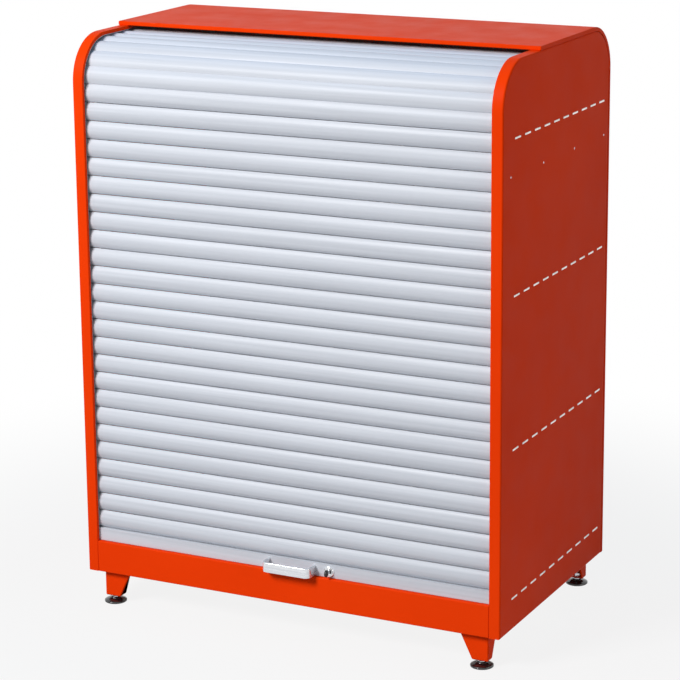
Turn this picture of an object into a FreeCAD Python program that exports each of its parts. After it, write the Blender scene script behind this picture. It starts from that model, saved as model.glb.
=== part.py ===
import FreeCAD, Part
import Sketcher
import math
import os
import re

from FreeCAD import Rotation, Vector

# Roll front tool cabinet on four legs with levelling feet.
#
# Sizes are in millimetres. The model is drawn in cabinet coordinates:
# X across, centred; Y backwards from the front face of the posts; Z up from the
# underside of the body. The row's origin lies on the floor, in the middle of the
# space that the cabinet takes, so every piece is moved by FRONT and UNDERSIDE.

# Driving dimensions
SIZES = {
    # body
    "cabinet_width": 1000,
    "cabinet_depth": 600,
    "body_height": 1212,
    "corner_radius": 100,
    "post_width": 25.5,
    "sheet_gauge": 1.5,
    "wrap_depth": 9,
    "cover_setback": 195,
    "rail_height": 71,
    "rail_flange": 66,
    "rail_return": 23.5,
    "floor_gap": 0.5,
    # rolling shutter
    "slat_pitch": 40,
    "slat_joint": 0.8,
    "slat_thickness": 8,
    "slat_crown": 2.5,
    "slat_wall": 1.6,
    "slat_taper": 2.2,
    "slat_end_gap": 2,
    "roof_slat_count": 7,
    "shutter_recess": 9.5,
    "lift_margin": 17.5,
    "pull_rail_height": 29.5,
    "pull_rail_thickness": 9,
    "pull_rail_wall": 1.8,
    "pull_rail_lift": 0.8,
    "seal_width": 4,
    "seal_depth": 4.5,
    "seal_gap": 0.2,
    "shoe_length": 12.7,
    "shoe_clearance": 0.3,
    # tracks
    "track_gap": 11.5,
    "track_gauge": 1.5,
    "track_clearance": 0.5,
    "track_foot": 31,
    "stop_height": 12,
    "stop_margin": 8,
    "brush_thickness": 4,
    "brush_clearance": 0.7,
    # shelves, floor and ceiling
    "shelf_gauge": 1.2,
    "shelf_lip": 25,
    "shelf_setback": 45,
    "back_space": 32.5,
    "lower_shelf_height": 396,
    "upper_shelf_height": 722,
    "ceiling_height": 1047,
    "tab_count": 10,
    "tab_first": 76.8,
    "tab_last": 51.6,
    "tab_length": 30,
    "tab_height": 4,
    "tab_drop": 0.3,
    "slot_clearance": 0.5,
    # side stiffeners and their rivets
    "stiffener_height": 969,
    "stiffener_leg": 20,
    "stiffener_ledge": 10,
    "stiffener_start": 30,
    "rivet_first": 42.3,
    "rivet_last": 35.7,
    "rivet_count": 4,
    "rivet_radius": 3,
    "rivet_length": 5,
    # legs
    "leg_height": 60,
    "leg_gauge": 2.5,
    "leg_inset_side": 33,
    "leg_inset_front": 15,
    "leg_top_width": 66,
    "leg_top_depth": 50,
    "leg_foot_width": 37,
    "leg_foot_depth": 24,
    "leg_bolt_radius": 4,
    "leg_bolt_outer": 17,
    "leg_bolt_inner": 52,
    "leg_bolt_inset": 38,
    "bolt_head_radius": 7.5,
    "bolt_head_height": 5.3,
    "bolt_nut_height": 6.3,
    "bolt_tail": 2,
    "bolt_clearance": 0.3,
    # levelling feet
    "foot_height": 75,
    "pad_radius": 25,
    "pad_rim": 4,
    "pad_height": 11,
    "pad_dome_radius": 35,
    "pad_chamfer": 1.5,
    "pad_boss_radius": 11,
    "stud_radius": 5,
    "stud_length": 46,
    "stud_collar_radius": 8.5,
    "stud_collar_height": 2.5,
    "thread_clearance": 0.05,
    "leg_nut_radius": 9.8,
    "leg_nut_height": 8,
    # pull handle
    "handle_reach": 24,
    "handle_length": 116,
    "handle_centre": 10,
    "handle_height": 22,
    "handle_bottom": 73,
    "handle_gauge": 6,
    "handle_bend": 13,
    "handle_fillet": 1.5,
    "handle_screw_radius": 2,
    "handle_screw_depth": 11,
    "screw_head_radius": 3.6,
    "screw_head_height": 2.2,
    # lock
    "lock_offset": 100,
    "lock_height": 85,
    "bezel_radius": 12,
    "bezel_height": 3,
    "barrel_radius": 9,
    "barrel_length": 16.7,
    "plug_radius": 7,
    "plug_clearance": 0.05,
    "plug_setback": 0.3,
    "spindle_radius": 4,
    "spindle_length": 5,
    "cam_gauge": 2.5,
    "cam_hub_radius": 8,
    "cam_nut_radius": 6.8,
    "hook_outer_radius": 24.5,
    "hook_width": 5,
    "spoke_width": 3.5,
    "hook_angle": 70,
    "hook_rise": 45,
    "strike_gauge": 2,
    "strike_length": 56,
    "strike_width": 10,
    "strike_clearance": 1.5,
    "strike_slot_width": 4.5,
    "lock_nut_radius": 12.2,
    "lock_nut_height": 3,
    "key_blade_gauge": 2,
    "key_blade_width": 7.6,
    "key_depth": 16,
    "key_slot_clearance": 0.1,
    "key_neck": 4,
    "key_bow_radius": 7.5,
    "key_bow_gauge": 3.4,
    "key_bow_lap": 1,
    # how far a cutting tool runs past what it cuts
    "overcut": 1,
}

doc = FreeCAD.newDocument("roll_front_cabinet")
sheet = doc.addObject("Spreadsheet::Sheet", "sizes")
for row, (alias, value) in enumerate(SIZES.items(), start=1):
    sheet.set(f"A{row}", alias)
    sheet.set(f"B{row}", str(value))
    sheet.setAlias(f"B{row}", alias)
doc.recompute()

# Where the row's origin lies, as seen from the cabinet's own coordinates
FRONT = "(handle_reach - cabinet_depth) / 2"
UNDERSIDE = "foot_height"

# Places that several pieces share
HALF = "cabinet_width / 2"
SKIN = "(cabinet_width / 2 - sheet_gauge)"
OPENING = "(cabinet_width / 2 - post_width)"
TOP = "(body_height - wrap_depth)"
REAR = "(cabinet_depth - wrap_depth)"
REAR_RADIUS = "(corner_radius - wrap_depth)"
TRACK_OUTSIDE = "(shutter_recess - track_clearance - track_gauge)"
TRACK_NEAR = "(shutter_recess - track_clearance)"
TRACK_FAR = "(shutter_recess - track_clearance + track_gap)"
TRACK_INSIDE = "(shutter_recess - track_clearance + track_gap + track_gauge)"
TRACK_WEB = "(cabinet_width / 2 - sheet_gauge - track_gauge)"
SHUTTER_TOP = "(rail_height + pull_rail_height)"
FRONT_RUN = f"({TOP} - corner_radius - {SHUTTER_TOP})"
FRONT_SLATS = f"floor({FRONT_RUN} / slat_pitch)"
PULL_RAIL_END = f"({TRACK_WEB} - shoe_clearance - shoe_length)"
PULL_RAIL_BOTTOM = "(rail_height + pull_rail_lift)"
PULL_RAIL_BACK = "(shutter_recess + pull_rail_thickness)"
LEG_OUTSIDE = "(cabinet_width / 2 - leg_inset_side)"
LOCK_FACE = "(shutter_recess - bezel_height)"
CAM_FRONT = "(shutter_recess + barrel_length)"
SHELF_BACK = "(cabinet_depth - back_space)"
FLOOR_FRONT = "(rail_return + floor_gap)"
TAB_PITCH = "((cabinet_depth - tab_first - tab_last) / (tab_count - 1))"
RIVET_PITCH = "((cabinet_depth - rivet_first - rivet_last) / (rivet_count - 1))"

nodes = []


def bound(text):
    """Names every alias in the text by its sheet, so that the text is an expression."""
    words = "|".join(sorted(SIZES, key=len, reverse=True))
    return re.sub(rf"\b({words})\b", r"sizes.\1", str(text))


def number(text):
    """The value of an expression at the sheet's present sizes."""
    return float(sheet.evalExpression(bound(text)))


def bind(item, **properties):
    """Ties properties of an object to the sheet."""
    for name, text in properties.items():
        item.setExpression(name.replace("__", "."), bound(text))
    return item


def place(item, x, y, z):
    """Puts an object at a place given in cabinet coordinates."""
    bind(
        item,
        Placement__Base__x=x,
        Placement__Base__y=f"{FRONT} + ({y})",
        Placement__Base__z=f"{UNDERSIDE} + ({z})",
    )
    return item


def node(item, label):
    """Marks an object as one of the cabinet's sub-parts."""
    item.Label = label
    nodes.append(item)
    return item


def box(name, x, y, z):
    """A block between two limits on each axis."""
    block = doc.addObject("Part::Box", name)
    bind(
        block,
        Length=f"({x[1]}) - ({x[0]})",
        Width=f"({y[1]}) - ({y[0]})",
        Height=f"({z[1]}) - ({z[0]})",
    )
    return place(block, x[0], y[0], z[0])


TURNS = {
    "x": Rotation(Vector(0, 1, 0), 90),
    "y": Rotation(Vector(1, 0, 0), -90),
    "z": Rotation(),
}


def rod(name, x, y, z, radius, length, along="z"):
    """A cylinder that starts at a point and runs along an axis."""
    cylinder = doc.addObject("Part::Cylinder", name)
    cylinder.Placement.Rotation = TURNS[along]
    bind(cylinder, Radius=radius, Height=length)
    return place(cylinder, x, y, z)


def hexagon(name, x, y, z, radius, length, along="z"):
    """A hexagonal bar, measured from its axis to a corner."""
    prism = doc.addObject("Part::Prism", name)
    prism.Polygon = 6
    prism.Placement.Rotation = TURNS[along]
    bind(prism, Circumradius=radius, Height=length)
    return place(prism, x, y, z)


def fuse(name, pieces):
    whole = doc.addObject("Part::MultiFuse", name)
    whole.Shapes = pieces
    return whole


def group(name, pieces):
    """Identical loose pieces that share one node."""
    whole = doc.addObject("Part::Compound", name)
    whole.Links = pieces
    return whole


def cut(name, base, tools):
    """The base without the tools."""
    rest = doc.addObject("Part::Cut", name)
    rest.Base = base
    rest.Tool = tools[0] if len(tools) == 1 else fuse(name + "_tools", tools)
    return rest


def sided(side, near, far):
    """Limits on X on one side of the cabinet, from the middle outwards."""
    return (near, far) if side > 0 else (f"-({far})", f"-({near})")


# Sketched outlines


def origin_plane(body, role):
    return next(item for item in body.Origin.OriginFeatures if item.Role == role)


def arc_middle(start, end, radius, turn):
    """The middle of the shorter arc between two points; turn is 1 to the left, -1 to the right."""
    chord = end - start
    half = chord.Length / 2
    across = Vector(chord.y, -chord.x, 0).normalize() * turn
    rise = radius - math.sqrt(max(radius * radius - half * half, 0))
    return (start + end) * 0.5 + across * rise


def outline(body, name, role, path, offset="0"):
    """A closed sketch whose corners and radii are tied to the sheet.

    Each step of the path is (u, v) for a line to that corner, or (u, v, radius, turn) for an arc to it.
    """
    sketch = body.newObject("Sketcher::SketchObject", name)
    sketch.AttachmentSupport = [(origin_plane(body, role), "")]
    sketch.MapMode = "FlatFace"
    bind(sketch, AttachmentOffset__Base__z=offset)
    corners = [Vector(number(step[0]), number(step[1]), 0) for step in path]
    for index, step in enumerate(path):
        start = corners[index - 1]
        end = corners[index]
        if len(step) == 2:
            sketch.addGeometry(Part.LineSegment(start, end), False)
        else:
            middle = arc_middle(start, end, number(step[2]), step[3])
            sketch.addGeometry(Part.Arc(start, middle, end), False)
    ends = []
    for index, corner in enumerate(corners):
        swapped = sketch.getPoint(index, 2).distanceToPoint(corner) > 1e-6
        ends.append((2, 1) if swapped else (1, 2))
    for index, step in enumerate(path):
        following = (index + 1) % len(path)
        here = ends[index][1]
        meeting = ends[following][0]
        sketch.addConstraint(Sketcher.Constraint("Coincident", index, here, following, meeting))
        for kind, text in (("DistanceX", step[0]), ("DistanceY", step[1])):
            limit = sketch.addConstraint(Sketcher.Constraint(kind, index, here, number(text)))
            sketch.setExpression(f"Constraints[{limit}]", bound(text))
        if len(step) > 2:
            limit = sketch.addConstraint(Sketcher.Constraint("Radius", index, number(step[2])))
            sketch.setExpression(f"Constraints[{limit}]", bound(step[2]))
    return sketch


def pad(body, sketch, length, backwards=False):
    feature = body.newObject("PartDesign::Pad", sketch.Name + "_pad")
    feature.Profile = sketch
    feature.Reversed = backwards
    bind(feature, Length=length)
    sketch.Visibility = False
    return feature


def pocket(body, sketch, length, forwards=True):
    """Cuts along the sketch's normal, or against it."""
    feature = body.newObject("PartDesign::Pocket", sketch.Name + "_pocket")
    feature.Profile = sketch
    feature.Reversed = forwards
    bind(feature, Length=length)
    return feature


def profile_body(name, role, path, length, backwards=False):
    """A body made by padding one outline."""
    body = doc.addObject("PartDesign::Body", name)
    pad(body, outline(body, name + "_outline", role, path), length, backwards)
    return body


# Side panels: a skin with a rim folded in all round, and a lip along the rim's inner edge


def side_outline(inset):
    """The side panel's outline, drawn in by a distance."""
    low = f"({inset})"
    return [
        (low, low),
        (f"{REAR} - {low}", low),
        (f"{REAR} - {low}", f"{TOP} - {REAR_RADIUS}"),
        (f"{REAR} - {REAR_RADIUS}", f"{TOP} - {low}", f"{REAR_RADIUS} - {low}", 1),
        ("corner_radius", f"{TOP} - {low}"),
        (low, f"{TOP} - corner_radius", f"corner_radius - {low}", 1),
    ]


def tab_places():
    return [f"tab_first + {index} * {TAB_PITCH}" for index in range(int(number("tab_count")))]


def shelf_slots(label, side):
    """The slots that the tabs of the floor, the shelves and the ceiling pass through."""
    slots = []
    for level in ("rail_height", "lower_shelf_height", "upper_shelf_height", "ceiling_height"):
        for centre in tab_places():
            slots.append(
                box(
                    f"{label}_slot",
                    sided(side, f"{SKIN} - sheet_gauge", f"{HALF} + sheet_gauge"),
                    (
                        f"{centre} - tab_length / 2 - slot_clearance",
                        f"{centre} + tab_length / 2 + slot_clearance",
                    ),
                    (f"{level} - tab_height - slot_clearance", f"{level} + slot_clearance"),
                )
            )
    return slots


def rivet_places():
    count = int(number("rivet_count"))
    return [f"rivet_first + {index} * {RIVET_PITCH}" for index in range(count)]


def side_panel(label, side):
    backwards = side < 0
    body = profile_body(f"{label}_shell", "YZ_Plane", side_outline("0"), "post_width", backwards)
    place(body, f"{side} * {OPENING}", "0", "0")
    mouth = outline(body, f"{label}_mouth", "YZ_Plane", side_outline(TRACK_OUTSIDE))
    pocket(body, mouth, "post_width - sheet_gauge", not backwards)
    offset = f"{side} * sheet_gauge"
    inside = outline(body, f"{label}_inside", "YZ_Plane", side_outline("sheet_gauge"), offset)
    pocket(body, inside, "post_width - 2 * sheet_gauge", not backwards)
    holes = [
        rod(
            f"{label}_rivet_hole",
            f"{HALF} - 3 * sheet_gauge" if side > 0 else f"-{HALF} - sheet_gauge",
            y,
            "stiffener_height",
            "rivet_radius",
            "4 * sheet_gauge",
            "x",
        )
        for y in rivet_places()
    ]
    node(cut(label, body, shelf_slots(label, side) + holes), label)


def stiffener(label, side):
    """A galvanised angle that keeps the tall side skin flat."""
    low = "stiffener_height - stiffener_leg / 2"
    high = "stiffener_height + stiffener_leg / 2"
    run = ("stiffener_start", SHELF_BACK)
    upright = box(f"{label}_upright", sided(side, f"{SKIN} - sheet_gauge", SKIN), run, (low, high))
    width = sided(side, f"{SKIN} - stiffener_ledge", SKIN)
    ledge = box(f"{label}_ledge", width, run, (low, f"{low} + sheet_gauge"))
    holes = [
        rod(
            f"{label}_hole",
            f"{SKIN} - 2 * sheet_gauge" if side > 0 else f"-{SKIN} - sheet_gauge",
            y,
            "stiffener_height",
            "rivet_radius",
            "3 * sheet_gauge",
            "x",
        )
        for y in rivet_places()
    ]
    node(cut(label, fuse(f"{label}_angle", [upright, ledge]), holes), label)


def side_rivets():
    rivets = []
    for side in (1, -1):
        start = f"{HALF} - rivet_length" if side > 0 else f"-{HALF}"
        for y in rivet_places():
            rivet = rod("side_rivet", start, y, "stiffener_height", "rivet_radius", "rivet_length", "x")
            rivets.append(rivet)
    node(group("rivets", rivets), "side_rivets")


# Tracks: channels that guide the ends of the slats up the front, over and down the back


def track_length_end():
    """The height at which the rear run ends: the open shutter's free end, less the stops."""
    hinge = "(shutter_recess + slat_crown)"
    bends = f"(pi / 2 * (corner_radius - {hinge}) + pi / 2 * ({REAR_RADIUS} - {hinge}))"
    roof = f"({REAR} - {REAR_RADIUS} - corner_radius)"
    lift = f"({FRONT_RUN} - lift_margin)"
    chain = f"(({FRONT_SLATS} + roof_slat_count) * slat_pitch + {lift})"
    down = f"({chain} - {FRONT_RUN} - {bends} - {roof})"
    return f"({TOP} - {REAR_RADIUS} - {down} - stop_height - stop_margin)"


def band(near, far):
    """A strip that follows the side panel's outline between two insets, open at the bottom."""
    foot = "track_foot"
    end = track_length_end()
    return [
        (far, foot),
        (near, foot),
        (near, f"{TOP} - corner_radius"),
        ("corner_radius", f"{TOP} - {near}", f"corner_radius - {near}", -1),
        (f"{REAR} - {REAR_RADIUS}", f"{TOP} - {near}"),
        (f"{REAR} - {near}", f"{TOP} - {REAR_RADIUS}", f"{REAR_RADIUS} - {near}", -1),
        (f"{REAR} - {near}", end),
        (f"{REAR} - {far}", end),
        (f"{REAR} - {far}", f"{TOP} - {REAR_RADIUS}"),
        (f"{REAR} - {REAR_RADIUS}", f"{TOP} - {far}", f"{REAR_RADIUS} - {far}", 1),
        ("corner_radius", f"{TOP} - {far}"),
        (far, f"{TOP} - corner_radius", f"corner_radius - {far}", 1),
    ]


def track(label, side):
    backwards = side < 0
    channel = band(TRACK_OUTSIDE, TRACK_INSIDE)
    body = profile_body(f"{label}_channel", "YZ_Plane", channel, f"{SKIN} - {OPENING}", backwards)
    place(body, f"{side} * {OPENING}", "0", "0")
    groove = outline(body, f"{label}_groove", "YZ_Plane", band(TRACK_NEAR, TRACK_FAR))
    pocket(body, groove, f"{TRACK_WEB} - {OPENING}", not backwards)
    node(body, label)


def end_stops():
    """Rubber blocks at the lower ends of the rear runs, which the open shutter meets."""
    end = track_length_end()
    stops = [
        box(
            "end_stop",
            sided(side, OPENING, TRACK_WEB),
            (f"{REAR} - {TRACK_FAR}", f"{REAR} - {TRACK_NEAR}"),
            (end, f"{end} + stop_height"),
        )
        for side in (1, -1)
    ]
    node(group("stops", stops), "end_stops")


# Outer sheets


def top_cover():
    """A shallow inverted tray that lies on the side panels and turns down over the rear bend."""
    shell = [
        ("cover_setback", TOP),
        ("cabinet_depth - corner_radius", TOP),
        (REAR, "body_height - corner_radius", REAR_RADIUS, -1),
        ("cabinet_depth", "body_height - corner_radius"),
        ("cabinet_depth - corner_radius", "body_height", "corner_radius", 1),
        ("cover_setback", "body_height"),
    ]
    body = profile_body("cover_shell", "YZ_Plane", shell, "cabinet_width")
    place(body, f"-{HALF}", "0", "0")
    hollow = [
        ("cover_setback + sheet_gauge", f"{TOP} - sheet_gauge"),
        ("cabinet_depth - corner_radius", f"{TOP} - sheet_gauge"),
        (f"{REAR} - sheet_gauge", "body_height - corner_radius", f"{REAR_RADIUS} - sheet_gauge", -1),
        ("cabinet_depth - sheet_gauge", "body_height - corner_radius"),
        ("cabinet_depth - corner_radius", "body_height - sheet_gauge", "corner_radius - sheet_gauge", 1),
        ("cover_setback + sheet_gauge", "body_height - sheet_gauge"),
    ]
    inside = outline(body, "cover_inside", "YZ_Plane", hollow, "sheet_gauge")
    pocket(body, inside, "cabinet_width - 2 * sheet_gauge")
    node(body, "top_cover")


def cover_brush():
    """A dark brush strip behind the cover's front edge, which closes the gap over the shutter."""
    node(
        box(
            "brush",
            (f"-{OPENING}", OPENING),
            ("cover_setback + sheet_gauge", "cover_setback + sheet_gauge + brush_thickness"),
            (f"{TOP} - shutter_recess + brush_clearance", "body_height - sheet_gauge"),
        ),
        "cover_brush",
    )


def back_panel():
    top = "body_height - corner_radius"
    shell = box("back_shell", (f"-{HALF}", HALF), (REAR, "cabinet_depth"), ("0", top))
    hollow = box(
        "back_hollow",
        (f"-{SKIN}", SKIN),
        (f"{REAR} - sheet_gauge", "cabinet_depth - sheet_gauge"),
        ("sheet_gauge", f"{top} + sheet_gauge"),
    )
    node(cut("back_tray", shell, [hollow]), "back_panel")


def front_rail():
    """The plinth between the posts: a face, a return at the top and a flange for the legs."""
    across = (f"-{OPENING}", OPENING)
    face = box("front_face", across, ("0", "sheet_gauge"), ("0", "rail_height"))
    ledge = box("front_ledge", across, ("0", "rail_return"), ("rail_height - sheet_gauge", "rail_height"))
    flange = box("front_flange", across, ("0", "rail_flange"), ("0", "sheet_gauge"))
    whole = fuse("front_channel", [face, ledge, flange])
    node(cut("front_rail_body", whole, rail_bolt_holes("front_bolt_hole", -1)), "front_rail")


def rear_rail():
    across = (f"-{OPENING}", OPENING)
    face = box("rear_face", across, (f"{REAR} - sheet_gauge", REAR), ("0", "rail_height"))
    ledge = box(
        "rear_ledge",
        across,
        (f"{SHELF_BACK} + shelf_gauge", REAR),
        ("rail_height - sheet_gauge", "rail_height"),
    )
    flange = box("rear_flange", across, ("cabinet_depth - rail_flange", REAR), ("0", "sheet_gauge"))
    whole = fuse("rear_channel", [face, ledge, flange])
    node(cut("rear_rail_body", whole, rail_bolt_holes("rear_bolt_hole", 1)), "rear_rail")


# Inside: floor, two shelves and a ceiling are the same folded pan, hung by its tabs,
# which are set down a little from the pan's upper face


def pan(label, level, front, cutouts=()):
    across = (f"-{SKIN}", SKIN)
    shell = box(f"{label}_shell", across, (front, SHELF_BACK), (f"{level} - shelf_lip", level))
    hollow = box(
        f"{label}_hollow",
        (f"-{SKIN} + shelf_gauge", f"{SKIN} - shelf_gauge"),
        (f"{front} + shelf_gauge", f"{SHELF_BACK} - shelf_gauge"),
        (f"{level} - shelf_lip - shelf_gauge", f"{level} - shelf_gauge"),
    )
    pieces = [cut(f"{label}_tray", shell, [hollow] + list(cutouts))]
    for side in (1, -1):
        for centre in tab_places():
            pieces.append(
                box(
                    f"{label}_tab",
                    sided(side, f"{SKIN} - shelf_gauge", HALF),
                    (f"{centre} - tab_length / 2", f"{centre} + tab_length / 2"),
                    (f"{level} - tab_height", f"{level} - tab_drop"),
                )
            )
    node(fuse(f"{label}_pan", pieces), label)


def strike_slot(name):
    """The opening that the lock's hook swings through."""
    drop = "(lock_height - rail_height)"
    far = f"sqrt(hook_outer_radius ^ 2 - {drop} ^ 2) + strike_clearance"
    below = f"({drop} + shelf_gauge + strike_gauge)"
    near = f"sqrt((hook_outer_radius - hook_width) ^ 2 - {below} ^ 2) - strike_clearance"
    return box(
        name,
        (f"lock_offset + {near}", f"lock_offset + {far}"),
        (
            f"{CAM_FRONT} + cam_gauge / 2 - strike_slot_width / 2",
            f"{CAM_FRONT} + cam_gauge / 2 + strike_slot_width / 2",
        ),
        ("rail_height - shelf_gauge - 2 * strike_gauge", "rail_height + strike_gauge"),
    )


def lock_strike():
    """A plate under the floor's front edge that the hook catches."""
    plate = box(
        "strike_plate",
        ("lock_offset - strike_length / 2", "lock_offset + strike_length / 2"),
        (f"{FLOOR_FRONT} + shelf_gauge", f"{FLOOR_FRONT} + shelf_gauge + strike_width"),
        ("rail_height - shelf_gauge - strike_gauge", "rail_height - shelf_gauge"),
    )
    node(cut("strike", plate, [strike_slot("plate_slot")]), "lock_strike")


def inner_back_wall():
    node(
        box(
            "back_wall",
            (f"-{SKIN}", SKIN),
            (SHELF_BACK, f"{SHELF_BACK} + shelf_gauge"),
            ("rail_height - shelf_lip", "ceiling_height"),
        ),
        "inner_back_wall",
    )


# Rolling shutter: slats that hook into each other, on a path that turns at the front bend


def slat_section():
    """A crowned face with a tapering flange behind each joint; u runs back, v runs up."""
    low = "(slat_joint / 2)"
    high = "(slat_pitch - slat_joint / 2)"
    crown_radius = f"(({high} - {low}) ^ 2 / (8 * slat_crown) + slat_crown / 2)"
    return [
        ("slat_crown", low),
        ("slat_crown", high, crown_radius, -1),
        ("slat_thickness", f"{high} - slat_taper"),
        ("slat_thickness", f"{high} - slat_taper - slat_wall"),
        ("slat_crown + slat_wall", f"{high} - slat_wall"),
        ("slat_crown + slat_wall", f"{low} + slat_wall", f"{crown_radius} - slat_wall", 1),
        ("slat_thickness", f"{low} + slat_taper + slat_wall"),
        ("slat_thickness", f"{low} + slat_taper"),
    ]


def path_point(run):
    """The point of the slats' hinge line at a distance along it, as (y, z) in cabinet coordinates."""
    inset = number("shutter_recess + slat_crown")
    radius = number("corner_radius") - inset
    straight = number(FRONT_RUN)
    if run <= straight:
        return inset, number(SHUTTER_TOP) + run
    turn = (run - straight) / radius
    if turn <= math.pi / 2:
        centre_z = number(f"{TOP} - corner_radius")
        return number("corner_radius") - radius * math.cos(turn), centre_z + radius * math.sin(turn)
    return number("corner_radius") + run - straight - radius * math.pi / 2, number(TOP) - inset


def next_joint(run):
    """The distance along the path at which the next joint lies, one slat further on."""
    start = path_point(run)
    low = run
    high = run + 2 * number("slat_pitch")
    for _ in range(50):
        middle = (low + high) / 2
        if math.dist(start, path_point(middle)) < number("slat_pitch"):
            low = middle
        else:
            high = middle
    return low


def slats():
    pattern = profile_body("slat", "YZ_Plane", slat_section(), f"2 * ({TRACK_WEB} - slat_end_gap)")
    doc.recompute()
    half_length = number(f"{TRACK_WEB} - slat_end_gap")
    crown = number("slat_crown")
    front_slats = int(number(FRONT_SLATS))
    runs = [0.0]
    for _ in range(front_slats + int(number("roof_slat_count"))):
        runs.append(next_joint(runs[-1]))
    shapes = []
    for start, end in zip(runs, runs[1:]):
        y0, z0 = path_point(start)
        y1, z1 = path_point(end)
        lean = math.degrees(math.atan2(y1 - y0, z1 - z0))
        turn = FreeCAD.Placement(Vector(), Rotation(Vector(1, 0, 0), -lean), Vector())
        shift = FreeCAD.Placement(Vector(-half_length, -crown, 0), Rotation())
        spot = FreeCAD.Placement(Vector(0, y0, z0), Rotation())
        shapes.append(pattern.Shape.transformed((spot * turn * shift).toMatrix()))
    members = [("front_slats", shapes[:front_slats])]
    for index, shape in enumerate(shapes[front_slats:], start=1):
        members.append((f"roof_slat_{index}", [shape]))
    for label, solids in members:
        piece = doc.addObject("Part::Feature", label)
        piece.Shape = Part.makeCompound(solids)
        place(piece, "0", "0", "0")
        node(piece, label)


def handle_screw_places():
    reach = "(handle_length / 2 - handle_gauge / 2)"
    return [f"handle_centre + {reach}", f"handle_centre - {reach}"]


def bottom_rail():
    """The shutter's bottom rail: a hollow bar with a groove for the seal."""
    bottom = PULL_RAIL_BOTTOM
    top = f"({SHUTTER_TOP} - slat_joint / 2)"
    front_wall = "(shutter_recess + pull_rail_wall)"
    back_wall = f"({PULL_RAIL_BACK} - pull_rail_wall)"
    long = (f"-{PULL_RAIL_END}", PULL_RAIL_END)
    through = (f"-{PULL_RAIL_END} - overcut", f"{PULL_RAIL_END} + overcut")
    middle = "(shutter_recess + pull_rail_thickness / 2)"
    bar = box("rail_bar", long, ("shutter_recess", PULL_RAIL_BACK), (bottom, top))
    groove = box(
        "rail_groove",
        through,
        (f"{middle} - seal_width / 2", f"{middle} + seal_width / 2"),
        (f"{bottom} - overcut", "rail_height + seal_gap + seal_depth"),
    )
    cavity = box(
        "rail_cavity",
        through,
        (front_wall, back_wall),
        ("rail_height + seal_gap + seal_depth + pull_rail_wall", f"{top} - pull_rail_wall"),
    )
    barrel = rod(
        "rail_lock_hole",
        "lock_offset",
        "shutter_recess - overcut",
        "lock_height",
        "barrel_radius",
        "pull_rail_thickness + 2 * overcut",
        "y",
    )
    screws = [
        rod(
            "rail_screw_hole",
            x,
            "shutter_recess - overcut",
            "handle_bottom + handle_height / 2",
            "handle_screw_radius",
            "pull_rail_thickness + 2 * overcut",
            "y",
        )
        for x in handle_screw_places()
    ]
    node(cut("rail_profile", bar, [groove, cavity, barrel] + screws), "bottom_rail")


def bottom_seal():
    middle = "(shutter_recess + pull_rail_thickness / 2)"
    node(
        box(
            "seal",
            (f"-{PULL_RAIL_END}", PULL_RAIL_END),
            (f"{middle} - seal_width / 2", f"{middle} + seal_width / 2"),
            ("rail_height + seal_gap", "rail_height + seal_gap + seal_depth"),
        ),
        "bottom_seal",
    )


def guide_shoes():
    """Nylon blocks on the ends of the bottom rail, which run in the tracks."""
    shoes = [
        box(
            "guide_shoe",
            sided(side, PULL_RAIL_END, f"{PULL_RAIL_END} + shoe_length"),
            (f"{TRACK_NEAR} + shoe_clearance", f"{TRACK_FAR} - shoe_clearance"),
            (PULL_RAIL_BOTTOM, f"{SHUTTER_TOP} - slat_joint / 2"),
        )
        for side in (1, -1)
    ]
    node(group("shoes", shoes), "guide_shoes")


def pull_handle():
    """A flat bar bent into a bow, with rounded edges."""
    reach = "(-handle_reach)"
    back = "shutter_recess"
    far = "(handle_length / 2)"
    near = "(handle_length / 2 - handle_gauge)"
    inner = "(handle_bend - handle_gauge)"
    bow = [
        (f"-{far}", back),
        (f"-{far}", f"{reach} + handle_bend"),
        (f"-{far} + handle_bend", reach, "handle_bend", 1),
        (f"{far} - handle_bend", reach),
        (far, f"{reach} + handle_bend", "handle_bend", 1),
        (far, back),
        (near, back),
        (near, f"{reach} + handle_bend"),
        (f"{near} - {inner}", f"{reach} + handle_gauge", inner, -1),
        (f"-{near} + {inner}", f"{reach} + handle_gauge"),
        (f"-{near}", f"{reach} + handle_bend", inner, -1),
        (f"-{near}", back),
    ]
    body = profile_body("bow", "XY_Plane", bow, "handle_height")
    doc.recompute()
    bar = body.Tip
    rounded = body.newObject("PartDesign::Fillet", "bow_fillet")
    edges = []
    for index, edge in enumerate(bar.Shape.Edges, start=1):
        heights = [point.z for point in edge.discretize(3)]
        depths = [point.y for point in edge.discretize(3)]
        flat = max(heights) - min(heights) < 1e-6
        if flat and min(depths) < number("shutter_recess") - 1e-6:
            edges.append(f"Edge{index}")
    rounded.Base = (bar, edges)
    bind(rounded, Radius="handle_fillet")
    place(body, "handle_centre", "0", "handle_bottom")
    holes = [
        rod(
            "handle_tapping",
            x,
            "shutter_recess - handle_screw_depth",
            "handle_bottom + handle_height / 2",
            "handle_screw_radius",
            "handle_screw_depth + overcut",
            "y",
        )
        for x in handle_screw_places()
    ]
    node(cut("handle", body, holes), "pull_handle")


def handle_screws():
    screws = []
    height = "handle_bottom + handle_height / 2"
    for x in handle_screw_places():
        tip = "(shutter_recess - handle_screw_depth)"
        length = f"{PULL_RAIL_BACK} - {tip}"
        shank = rod("screw_shank", x, tip, height, "handle_screw_radius", length, "y")
        head = rod("screw_head", x, PULL_RAIL_BACK, height, "screw_head_radius", "screw_head_height", "y")
        screws.append(fuse("handle_screw", [shank, head]))
    node(group("screws", screws), "handle_screws")


# Lock: a barrel in the bottom rail whose plug turns a hooked cam under the floor's edge


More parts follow.
